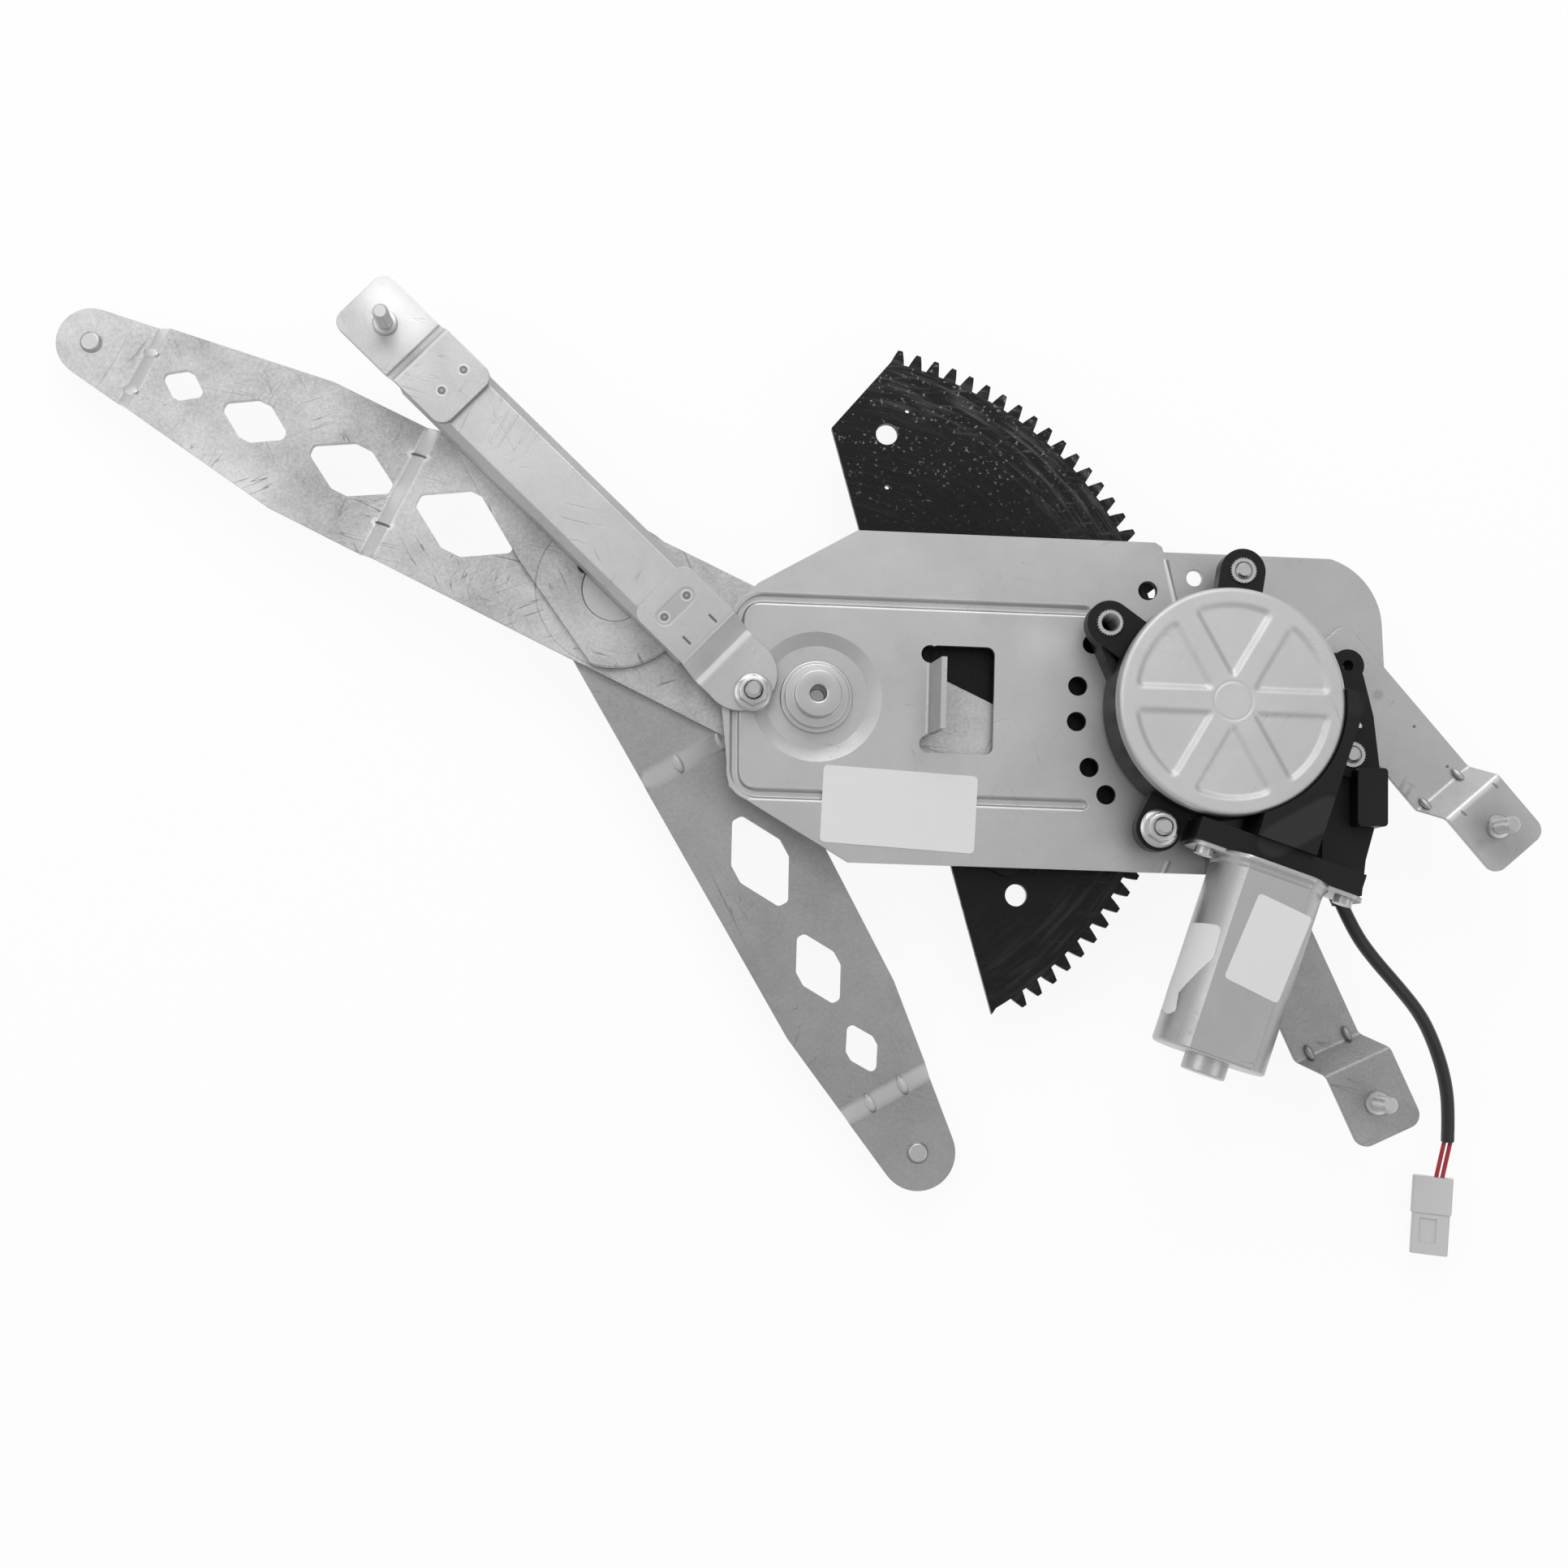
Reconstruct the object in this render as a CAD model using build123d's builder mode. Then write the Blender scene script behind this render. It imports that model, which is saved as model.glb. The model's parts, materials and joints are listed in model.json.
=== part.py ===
from build123d import *
from math import acos, atan2, cos, pi, radians, sin, tan
import os

# Double-arm window regulator, millimetres. It lies with its motor side up.
# Origin: main pivot axis, on the top face of the base plate. +X runs along the plate to the motor.

# Main pivot and layers, heights above the plate's top face
plate_thickness = 2.0
layer_gap = 0.5
plate_gap = 0.6
upper_link_thickness = 2.0
arm_thickness = 2.5
sector_thickness = 3.0
dish_depth = 2.0
dish_floor_radius = 19.0
dish_slope_width = 5.0
pivot_radius = 7.0
pivot_head_radius = 11.0
pivot_head_thickness = 2.0
pivot_head_taper = 1.0
pivot_washer_radius = 13.3
pivot_washer_thickness = 1.5
pivot_collar_radius = 11.8
pivot_collar_height = 3.5
pivot_boss_radius = 8.5
pivot_boss_height = 7.0
pivot_boss_chamfer = 0.8
pivot_bore_radius = 2.9
pivot_bore_depth = 12.0
bush_wall = 2.0
running_clearance = 0.05
seat_clearance = 0.02
face_clearance = 0.1

# Base plate
plate_right_top = (124.5, 62.5)
plate_right_shoulder = (127.0, 61.0)
plate_right_waist = (134.5, 35.0)
plate_right_low = (144.0, -49.0)
plate_right_bottom = (144.5, -60.3)
plate_top_left = (13.5, 62.5)
plate_bottom_left = (13.2, -60.3)
nose_top = (-22.5, 41.4)
nose_upper = (-31.2, 33.0)
nose_mid = (-34.6, -5.0)
nose_lower = (-31.0, -34.0)
nose_bottom = (-27.5, -37.0)
bead_width = 3.8
bead_depth = 1.2
bead_top = 35.6
bead_bottom = -36.4
bead_left = -29.0
bead_left_waist = -30.0
bead_right = 101.0
bead_corner = 10.0
window_left = 41.4
window_right = 65.3
window_bottom = -19.2
window_top = 20.7
window_corner = 3.0
relief_radius = 3.3
tab_height = 18.0
tab_length = 26.0
tab_root = 4.0
tab_lean = 2.0
tab_inner_bend = 1.5
tab_outer_bend = 3.0

# Gear train
gear_module = 2.25
sector_full_teeth = 120
pinion_teeth = 10
pinion_gap_angle = 180.0
pressure_angle = 20.0
profile_shift = 0.35
tooth_backlash = 0.16
tooth_root_depth = 1.25
sector_first_tooth = 78.0
sector_teeth_cut = 45
sector_top_corner = (3.2, 102.8)
sector_bottom_corner = (68.1, -113.8)
sector_heel_angle = -58.0
sector_hole_radius = 4.1
sector_hole_places = ((24.0, 101.3), (76.2, -69.9))
sector_pin_radius = 0.9
sector_pin_places = ((31.5, 110.6), (24.6, 81.1))
pinion_thickness = 6.0
shaft_radius = 5.0

# Lift arm, along and across its own line from the main pivot; windows are measured back from its tip
lift_angle = 155.4
lift_length = 301.4
lift_half_width = 27.8
lift_root = 95.0
lift_taper_length = 88.4
lift_taper_half_width = 26.5
lift_tip_radius = 13.0
lift_joggle_middle = 171.5
lift_joggle_drop = 6.0
tip_joggle_back = 22.8
tip_joggle_drop = 6.0
joggle_run = 6.0
bend_radius = 2.0
window_blunting = 0.1
window_fillet = 2.0
lift_windows = ((39.9, 15.5, 11.5), (69.4, 25.0, 16.0), (109.4, 33.0, 19.5), (157.4, 39.0, 24.0))

# Crossing pivot and equalizer arm
cross_along = 84.0
cross_across = -2.7
cross_radius = 16.0
cross_disc_radius = 12.0
cross_disc_recess = 0.6
equalizer_angle = -59.7
equalizer_length = 234.7
equalizer_half_width = 22.3
equalizer_root_radius = 26.0
equalizer_taper_length = 60.7
equalizer_tip_radius = 14.0
equalizer_joggle_middle = 67.2
equalizer_joggle_drop = 5.0
equalizer_tip_joggle_back = 24.4
equalizer_windows = ((43.5, 18.5, 11.5), (76.7, 27.5, 16.0), (121.7, 36.0, 20.5))
link_bend = 12.0
link_length = 84.0
link_root_radius = 29.5
link_root_corner = (-16.0, 24.6)
link_waist = (30.0, 20.0)
link_neck = (60.0, 14.7)
link_end_radius = 9.0
link_neck_angle = 70.0

# Rollers
tip_pin_radius = 3.5
rivet_head_radius = 4.2
rivet_head_height = 1.6
rivet_head_taper = 1.0
roller_radius = 10.0
roller_thickness = 8.0
channel_roller_radius = 8.4
channel_roller_thickness = 5.0
roller_crown = 0.8
pin_flange_radius = 6.0
pin_flange_thickness = 1.5
channel_pin_flange_radius = 4.1
channel_pin_collar = 1.0

# Fixed channel and its two brackets, along and across the channel's line through the main pivot
channel_angle = 137.4
channel_offset = 13.9
channel_width = 26.0
channel_wall = 1.5
channel_top = 11.0
channel_lip = 4.0
channel_start = 44.0
channel_end = 187.0
channel_corner = 3.0
bracket_thickness = 2.0
bracket_width = 27.0
lower_flat_start = 42.0
lower_flat_end = 68.0
lower_bend_run = 7.0
lower_pad_centre = 25.5
lower_pad_radius = 13.6
bracket_stud_along = 17.6
bracket_stud_across = 15.5
upper_flat_start = 163.5
upper_flat_end = 188.0
upper_bend_run = 5.0
pad_height = 8.0
upper_pad_length = 28.5
upper_stud_along = 207.0
pad_corner = 5.0

# Motor side plate and legs
motor_plate_left = 112.0
motor_plate_top = 59.5
motor_plate_shoulder = (191.5, 59.5)
motor_plate_bulge = (205.5, 50.0)
motor_plate_waist = (211.0, 36.0)
motor_plate_right = (212.5, 8.0)
motor_plate_lower = (206.0, -30.0)
motor_plate_foot = (188.0, -60.3)
pinion_window_radius = 17.0
leg_thickness = 2.0
upper_leg_angle = -48.4
upper_leg_width = 26.0
upper_leg_start = (186.9, 26.9)
upper_leg_first_bend = (233.4, -25.5)
upper_leg_stud = (251.0, -39.8)
lower_leg_angle = -64.5
lower_leg_width = 26.0
lower_leg_start = (157.0, -52.0)
lower_leg_first_bend = (191.7, -121.5)
lower_leg_stud = (206.2, -141.2)
leg_bend_run = 8.0
leg_pad_beyond_stud = 13.0
stud_radius = 3.0
stud_length = 14.0
stud_collar_radius = 4.4
stud_collar_height = 1.5
stud_head_thickness = 1.4
stud_chamfer = 0.75
bracket_stud_length = 14.0
nut_across_flats = 10.0
nut_height = 6.0
nut_flange_radius = 7.1
nut_flange_height = 1.4

# Gear motor
motor_hole_reach = 11.0
motor_ears = (145.2, 81.7, 243.4, -18.5)
spare_hole_angles = (118.8, 152.4, 171.4, 186.4, 206.4, 219.8)
spare_hole_radius = 3.6
clear_hole_angle = 97.3
clear_hole_radius = 3.0
ear_radius = 8.3
ear_bottom = 8.0
ear_top = 15.0
ear_bore_radius = 4.2
sleeve_rise = 1.0
motor_screw_head_radius = 5.0
motor_screw_head_thickness = 2.4
motor_screw_top = 17.0
motor_stud_top = 26.0
small_ear_place = (193.2, 17.0)
small_ear_radius = 6.0
small_ear_hole = 2.0
housing_radius = 39.5
housing_bottom = 2.5
housing_top = 26.0
housing_shoulder = 23.0
housing_wall = 2.5
housing_floor = 8.5
snout_radius = 12.0
snout_bottom = -4.0
worm_block_end = 18.0
worm_block_half_width = 11.0
worm_block_bottom = 4.0
worm_block_top = 31.0
web_outline = (
    (184.0, 22.0), (196.1, 20.5), (198.9, 13.5), (202.7, -1.3), (205.0, -20.0), (203.5, -41.0), (200.0, -54.0),
    (198.6, -67.0), (184.0, -56.0),
)
web_bottom = 3.0
web_top = 13.0
box_corners = ((194.0, -42.3), (205.0, -21.2))
box_top = 22.0
lug_along = (42.0, 49.0)
lug_across = (21.0, 37.0)
lug_bottom = -1.5
lug_top = 8.0
cover_wall = 1.2
cover_clearance = 0.2
cover_top = 30.0
cover_recess = 1.2
cover_rim_width = 5.5
cover_spoke_width = 7.5
cover_hub_radius = 6.8
cover_panels = 6
worm_offset = 34.1
worm_axis_height = 17.5
can_angle = -107.8
flange_distance = 50.4
flange_half_length = 32.0
flange_half_height = 10.0
flange_thickness = 1.6
flange_corner = 5.0
flange_screw_place = 26.4
flange_screw_rise = 3.0
flange_shift = 1.5
can_radius = 20.5
can_half_thickness = 17.0
can_length = 70.0
can_wall = 1.5
can_end_fillet = 1.2
can_boss_fillet = 0.7
can_boss_radius = 8.0
can_boss_length = 6.0
carrier_thickness = 8.0
carrier_half_length = 31.0
carrier_bottom = 5.0
carrier_top = 28.0
flange_screw_radius = 2.0
flange_screw_head_radius = 3.5
flange_screw_head_thickness = 2.4
flange_screw_length = 9.0
magnet_inner_radius = 13.2
magnet_half_angle = 42.0
magnet_count = 2
magnet_along = (62.0, 100.0)
brush_holder_along = (55.0, 58.0)
brush_holder_radius = 15.0
commutator_radius = 6.0
commutator_along = (53.0, 60.0)
brush_length = 7.0
brush_width = 4.0
brush_gap = 0.3
shaft_along = (-14.3, 126.2)
worm_bore_start = -14.5
worm_bush_length = 4.0
can_bearing_length = 4.0
wheel_radius = 28.2
wheel_teeth = 56
wheel_tooth_depth = 2.0
wheel_thickness = 10.0
wheel_hub_radius = 11.0
wheel_bottom = 12.5
wheel_web_thickness = 4.0
output_shaft_top = 26.0
output_shaft_bottom = -13.0
output_bush_wall = 3.0
worm_radius = 5.4
worm_core_radius = 3.9
worm_half_length = 10.0
worm_pitch = 3.1
worm_bore_radius = 5.9
armature_shaft_radius = 2.5
armature_radius = 12.4
armature_slots = 8
armature_slot_width = 2.6
armature_slot_depth = 6.0

# Lead
lead_radius = 2.45
wire_radius = 0.8
wire_spacing = 2.2
gland_radius = 3.4
gland_length = 9.0
lead_points = (
    (194.3, -69.1, 2.5),
    (199.4, -79.3, 1.6),
    (207.2, -88.7, -0.6),
    (218.4, -99.5, -3.8),
    (228.1, -109.3, -7.8),
    (234.9, -120.2, -12.0),
    (240.4, -132.7, -16.2),
    (243.1, -144.8, -19.6),
    (243.6, -156.2, -22.0),)
lead_tightness = 0.45
plug_top = (238.3, -169.6, -22.6)
plug_angle = -93.7
plug_roll = 20.0
plug_length = 28.5
wire_entry = 2.2
plug_width = 14.6
plug_thickness = 9.4
plug_step = 13.5
plug_step_inset = 1.0
plug_corner = 1.5
plug_cavity_depth = 13.0
plug_wall = 1.2
plug_latch_along = 19.8
plug_latch_across = -0.8
plug_latch_length = 9.0
plug_latch_width = 6.0
plug_latch_depth = 1.2

os.makedirs("parts", exist_ok=True)
made = []


def finish(part, label):
    """Names a finished piece and writes it."""
    part.label = label
    export_step(part, f"parts/{label}.step")
    made.append(label)


def direction(angle):
    """Unit vector in the plate's plane at an angle in degrees."""
    return Vector(cos(radians(angle)), sin(radians(angle)), 0)


def place(origin, angle, along, across):
    """A plan point given along and across a line that starts at origin."""
    ahead = direction(angle)
    aside = direction(angle + 90)
    spot = Vector(*origin) + ahead * along + aside * across
    return (spot.X, spot.Y)


def plan(origin, angle, height):
    """Horizontal plane at a height, its x axis along a line of the mechanism."""
    return Plane(origin=(*origin, height), x_dir=direction(angle), z_dir=(0, 0, 1))


def side(origin, angle):
    """Upright plane through a line of the mechanism: x along it, y up."""
    return Plane(origin=(*origin, 0), x_dir=direction(angle), z_dir=direction(angle - 90))


def station(origin, angle, along):
    """Plane square to a line at a distance along it: x across it, y up."""
    ahead = direction(angle)
    spot = Vector(*origin) + ahead * along
    return Plane(origin=spot, x_dir=direction(angle + 90), z_dir=ahead)


# Heights of the layers, from the plate down
plate_underside = -plate_thickness
link_top = plate_underside - plate_gap
link_bottom = link_top - upper_link_thickness
lift_top = link_bottom - layer_gap
lift_bottom = lift_top - arm_thickness
equalizer_top = lift_bottom - layer_gap
sector_bottom = lift_bottom - sector_thickness
lift_mid_top = lift_top - lift_joggle_drop
tip_top = lift_mid_top - tip_joggle_drop
equalizer_mid_top = equalizer_top - equalizer_joggle_drop
tip_bottom = tip_top - arm_thickness
motor_plate_underside = plate_underside - plate_thickness
cover_radius = housing_radius + cover_clearance + cover_wall
motor_hole_circle = housing_radius + motor_hole_reach
main_pivot = (0.0, 0.0)
cross_pivot_place = place(main_pivot, lift_angle, cross_along, cross_across)
lift_tip = place(main_pivot, lift_angle, lift_length, 0)
equalizer_tip = place(cross_pivot_place, equalizer_angle, equalizer_length, 0)
link_angle = equalizer_angle + 180 + link_bend
link_tip = place(cross_pivot_place, link_angle, link_length, 0)
motor_centre = (gear_module * (sector_full_teeth + pinion_teeth) / 2, 0.0)
worm_foot = place(motor_centre, can_angle + 90, worm_offset, 0)


def strip_section(stations, thickness, radius):
    """Closed side profile of a bent strip, from the stations of its top face."""
    top = [(along, height) for along, height in stations]
    bottom = [(along, height - thickness) for along, height in stations]
    if len(top) > 2:
        FilletPolyline(*top, radius=radius)
        FilletPolyline(*bottom, radius=radius)
    else:
        Line(*top)
        Line(*bottom)
    Line(top[0], bottom[0])
    Line(top[-1], bottom[-1])


def joggle(middle, high, low):
    """Two stations of a step between two levels of a strip."""
    return [(middle - joggle_run / 2, high), (middle + joggle_run / 2, low)]


def diamond(length, width):
    """Corners of a rhombus window with blunt points."""
    quarter = [(length / 2, width * window_blunting), (length * window_blunting, width / 2)]
    upper = quarter + [(-x, y) for x, y in reversed(quarter)]
    return upper + [(-x, -y) for x, y in upper]


# Base plate: flat sheet with a pressed dish, a U-shaped bead and a bent stop tab
tab_middle = (window_top + window_bottom) / 2
with BuildPart() as base_plate:
    with BuildSketch(Plane.XY.offset(plate_underside)) as plate_outline:
        with BuildLine():
            Polyline(
                plate_top_left, plate_right_top, plate_right_shoulder, plate_right_waist, plate_right_low,
                plate_right_bottom, plate_bottom_left, nose_bottom, nose_lower, nose_mid, nose_upper, nose_top,
                close=True,
            )
        make_face()
    extrude(amount=plate_thickness)
    with BuildSketch(Plane.XZ) as dish_wall:
        with BuildLine():
            Polyline(
                (0, -dish_depth - plate_thickness),
                (dish_floor_radius, -dish_depth - plate_thickness),
                (dish_floor_radius + dish_slope_width, -plate_thickness),
                (0, -plate_thickness),
                close=True,
            )
        make_face()
    revolve(axis=Axis.Z)
    with BuildSketch(Plane.XZ) as dish_space:
        with BuildLine():
            Polyline(
                (0, -dish_depth), (dish_floor_radius, -dish_depth),
                (dish_floor_radius + dish_slope_width, 0), (0, 0),
                close=True,
            )
        make_face()
    revolve(axis=Axis.Z, mode=Mode.SUBTRACT)
    with BuildSketch(Plane.XY) as bead:
        with BuildLine() as bead_line:
            FilletPolyline(
                (bead_right, bead_top), (bead_left, bead_top), (bead_left_waist, 0), (bead_left, bead_bottom),
                (bead_right, bead_bottom),
                radius=bead_corner,
            )
        trace(line_width=bead_width)
    extrude(amount=-bead_depth, mode=Mode.SUBTRACT)
    with BuildSketch(Plane.XY):
        with Locations(((window_left + window_right) / 2, tab_middle)):
            RectangleRounded(window_right - window_left, window_top - window_bottom, window_corner)
        with Locations((window_left, window_top - relief_radius), (window_left, window_bottom + relief_radius)):
            Circle(relief_radius)
        Circle(pivot_radius + running_clearance)
        with Locations(motor_centre):
            Circle(pinion_window_radius)
    extrude(amount=-2 * plate_thickness - dish_depth, mode=Mode.SUBTRACT)
    with BuildSketch(Plane.XY):
        for angle in spare_hole_angles:
            with Locations(place(motor_centre, angle, motor_hole_circle, 0)):
                Circle(spare_hole_radius)
        for angle in (motor_ears[0], motor_ears[2]):
            with Locations(place(motor_centre, angle, motor_hole_circle, 0)):
                Circle(stud_radius + face_clearance)
    extrude(amount=-plate_thickness, mode=Mode.SUBTRACT)
    with BuildSketch(Plane.XY):
        with Locations(place(main_pivot, channel_angle, bracket_stud_along, bracket_stud_across)):
            Circle(stud_radius + seat_clearance)
    extrude(amount=-plate_thickness - dish_depth, mode=Mode.SUBTRACT)
    with BuildSketch(Plane.XZ.offset(-tab_middle)):
        with BuildLine():
            FilletPolyline(
                (window_left - tab_root, 0), (window_left, 0), (window_left + tab_lean, tab_height),
                radius=tab_inner_bend,
            )
            FilletPolyline(
                (window_left - tab_root, -plate_thickness), (window_left + plate_thickness, -plate_thickness),
                (window_left + tab_lean + plate_thickness, tab_height),
                radius=tab_outer_bend,
            )
            Line((window_left - tab_root, 0), (window_left - tab_root, -plate_thickness))
            tab_end = window_left + tab_lean
            Line((tab_end, tab_height), (tab_end + plate_thickness, tab_height))
        make_face()
    extrude(amount=tab_length / 2, both=True)
finish(base_plate.part, "base_plate")


# Motor side plate: second sheet, spot-welded under the base plate
with BuildPart() as motor_plate:
    with BuildSketch(Plane.XY.offset(motor_plate_underside)):
        with BuildLine():
            Polyline(
                motor_plate_waist, motor_plate_right, motor_plate_lower, motor_plate_foot,
                (motor_plate_left, plate_bottom_left[1]), (motor_plate_left, motor_plate_top), motor_plate_shoulder,
            )
            ThreePointArc(motor_plate_shoulder, motor_plate_bulge, motor_plate_waist)
        make_face()
        with Locations(motor_centre):
            Circle(pinion_window_radius, mode=Mode.SUBTRACT)
        for angle in motor_ears[1:]:
            with Locations(place(motor_centre, angle, motor_hole_circle, 0)):
                Circle(stud_radius + face_clearance, mode=Mode.SUBTRACT)
        with Locations(place(motor_centre, clear_hole_angle, motor_hole_circle, 0)):
            Circle(clear_hole_radius, mode=Mode.SUBTRACT)
        for angle in spare_hole_angles:
            with Locations(place(motor_centre, angle, motor_hole_circle, 0)):
                Circle(spare_hole_radius, mode=Mode.SUBTRACT)
    extrude(amount=plate_thickness)
finish(motor_plate.part, "motor_plate")


def leg(start, angle, width, first_bend, stud):
    """Strip from the motor side plate, stepped up to a mounting pad with a stud hole."""
    bend = (Vector(*first_bend) - Vector(*start)).dot(direction(angle))
    stud_along = (Vector(*stud) - Vector(*start)).dot(direction(angle))
    stud_across = (Vector(*stud) - Vector(*start)).dot(direction(angle + 90))
    end = stud_along + leg_pad_beyond_stud
    strip_top = plate_underside + leg_thickness
    stations = [(0, strip_top), (bend, strip_top), (bend + leg_bend_run, pad_height), (end, pad_height)]
    with BuildPart() as strip:
        with BuildSketch(side(start, angle)):
            with BuildLine():
                strip_section(stations, leg_thickness, bend_radius)
            make_face()
        extrude(amount=width, both=True)
        with BuildSketch(plan(start, angle, 0)) as outline:
            with BuildLine():
                Polyline(
                    (0, width / 2), (0, -width / 2), (bend, -width / 2),
                    (bend + leg_bend_run, stud_across - width / 2), (end, stud_across - width / 2),
                    (end, stud_across + width / 2), (bend + leg_bend_run, stud_across + width / 2),
                    (bend, width / 2),
                    close=True,
                )
            make_face()
            fillet(outline.vertices(), pad_corner)
            with Locations((stud_along, stud_across)):
                Circle(stud_radius + seat_clearance, mode=Mode.SUBTRACT)
        extrude(amount=3 * pad_height, both=True, mode=Mode.INTERSECT)
    return strip.part


upper_leg = leg(upper_leg_start, upper_leg_angle, upper_leg_width, upper_leg_first_bend, upper_leg_stud)
finish(upper_leg, "upper_leg")
lower_leg = leg(lower_leg_start, lower_leg_angle, lower_leg_width, lower_leg_first_bend, lower_leg_stud)
finish(lower_leg, "lower_leg")

# Fixed channel: folded section with bevelled shoulders and inturned lips
channel_middle = channel_offset
channel_floor = channel_top - channel_wall
channel_mouth = link_top + layer_gap
channel_inner = channel_width / 2 - channel_wall
with BuildPart() as channel:
    with BuildSketch(station(main_pivot, channel_angle, channel_start)) as section:
        with Locations((channel_middle, (channel_top + channel_mouth) / 2)):
            Rectangle(channel_width, channel_top - channel_mouth)
        chamfer(section.vertices().group_by(Axis.Y)[-1], channel_corner)
        with BuildLine():
            Polyline(
                (channel_middle - channel_inner, channel_mouth + channel_wall),
                (channel_middle - channel_inner, channel_floor - channel_corner),
                (channel_middle - channel_inner + channel_corner, channel_floor),
                (channel_middle + channel_inner - channel_corner, channel_floor),
                (channel_middle + channel_inner, channel_floor - channel_corner),
                (channel_middle + channel_inner, channel_mouth + channel_wall),
                close=True,
            )
        make_face(mode=Mode.SUBTRACT)
        with Locations((channel_middle, channel_mouth + channel_wall / 2)):
            Rectangle(2 * (channel_inner - channel_lip), channel_wall, mode=Mode.SUBTRACT)
    extrude(amount=channel_end - channel_start)
finish(channel.part, "equalizer_channel")

# Brackets of the channel: a flat welded on its back, a step down and a pad
flat_top = channel_top + bracket_thickness
lower_pad_top = bracket_thickness
with BuildPart() as lower_bracket:
    with BuildSketch(side(main_pivot, channel_angle)):
        with BuildLine():
            strip_section(
                [
                    (lower_pad_centre - lower_pad_radius, lower_pad_top),
                    (lower_flat_start - lower_bend_run, lower_pad_top),
                    (lower_flat_start, flat_top),
                    (lower_flat_end, flat_top),
                ],
                bracket_thickness,
                bend_radius,
            )
        make_face()
    extrude(amount=-2 * bracket_width, both=True)
    with BuildSketch(plan(main_pivot, channel_angle, 0)) as lower_outline:
        with Locations((lower_pad_centre, channel_middle)):
            Circle(lower_pad_radius)
        with Locations(((lower_pad_centre + lower_flat_end) / 2, channel_middle)):
            Rectangle(lower_flat_end - lower_pad_centre, bracket_width)
        fillet(lower_outline.vertices().sort_by(Axis.X)[-2:], pad_corner)
        with Locations((bracket_stud_along, bracket_stud_across)):
            Circle(stud_radius + seat_clearance, mode=Mode.SUBTRACT)
    extrude(amount=3 * flat_top, both=True, mode=Mode.INTERSECT)
finish(lower_bracket.part, "channel_lower_bracket")

upper_pad_end = upper_flat_end + upper_bend_run + upper_pad_length
with BuildPart() as upper_bracket:
    with BuildSketch(side(main_pivot, channel_angle)):
        with BuildLine():
            strip_section(
                [
                    (upper_flat_start, flat_top),
                    (upper_flat_end, flat_top),
                    (upper_flat_end + upper_bend_run, pad_height),
                    (upper_pad_end, pad_height),
                ],
                bracket_thickness,
                bend_radius,
            )
        make_face()
    extrude(amount=-2 * bracket_width, both=True)
    with BuildSketch(plan(main_pivot, channel_angle, 0)) as upper_outline:
        with Locations(((upper_flat_start + upper_pad_end) / 2, channel_middle)):
            Rectangle(upper_pad_end - upper_flat_start, bracket_width)
        fillet(upper_outline.vertices(), pad_corner)
        with Locations((upper_stud_along, channel_middle)):
            Circle(stud_radius + seat_clearance, mode=Mode.SUBTRACT)
    extrude(amount=3 * flat_top, both=True, mode=Mode.INTERSECT)
finish(upper_bracket.part, "channel_upper_bracket")


def weld_stud(place_xy, pad_top, pad_thickness):
    """M6 weld stud: flat head under the pad, collar on it and a chamfered shank."""
    pad_bottom = pad_top - pad_thickness
    with BuildPart() as stud:
        with BuildSketch(Plane((*place_xy, 0), x_dir=(1, 0, 0), z_dir=(0, -1, 0))):
            with BuildLine():
                Polyline(
                    (0, pad_bottom - stud_head_thickness),
                    (stud_collar_radius, pad_bottom - stud_head_thickness),
                    (stud_collar_radius, pad_bottom), (stud_radius, pad_bottom), (stud_radius, pad_top),
                    (stud_collar_radius, pad_top), (stud_collar_radius, pad_top + stud_collar_height),
                    (stud_radius, pad_top + stud_collar_height), (stud_radius, pad_top + stud_length),
                    (0, pad_top + stud_length),
                    close=True,
                )
            make_face()
        revolve(axis=Axis((*place_xy, 0), (0, 0, 1)))
        chamfer(stud.edges().filter_by(GeomType.CIRCLE).sort_by(Axis.Z)[-1], stud_chamfer)
    return stud.part


def flange_nut(place_xy, seat):
    """M6 hexagon nut with its own round flange."""
    with BuildPart() as nut:
        with BuildSketch(Plane.XY.offset(seat)):
            with Locations(place_xy):
                Circle(nut_flange_radius)
        extrude(amount=nut_flange_height)
        with BuildSketch(Plane.XY.offset(seat + nut_flange_height)):
            with Locations(place_xy):
                RegularPolygon(nut_across_flats / 2, 6, major_radius=False)
        extrude(amount=nut_height - nut_flange_height)
        with BuildSketch(Plane.XY.offset(seat)):
            with Locations(place_xy):
                Circle(stud_radius + seat_clearance)
        extrude(amount=nut_height, mode=Mode.SUBTRACT)
    return nut.part


upper_stud = place(main_pivot, channel_angle, upper_stud_along, channel_middle)
bracket_stud = place(main_pivot, channel_angle, bracket_stud_along, bracket_stud_across)
mounting_studs = Compound(
    [
        weld_stud(upper_leg_stud, pad_height, leg_thickness).solid(),
        weld_stud(lower_leg_stud, pad_height, leg_thickness).solid(),
        weld_stud(upper_stud, pad_height, bracket_thickness).solid(),
    ]
)
finish(mounting_studs, "mounting_studs")
with BuildPart() as plate_stud:
    with BuildSketch(Plane.XY.offset(plate_underside)):
        with Locations(bracket_stud):
            Circle(stud_radius)
    extrude(amount=bracket_stud_length)
    chamfer(plate_stud.faces().sort_by(Axis.Z)[-1].edges(), stud_chamfer)
finish(plate_stud.part, "bracket_stud")
finish(flange_nut(bracket_stud, lower_pad_top), "bracket_nut")

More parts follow.
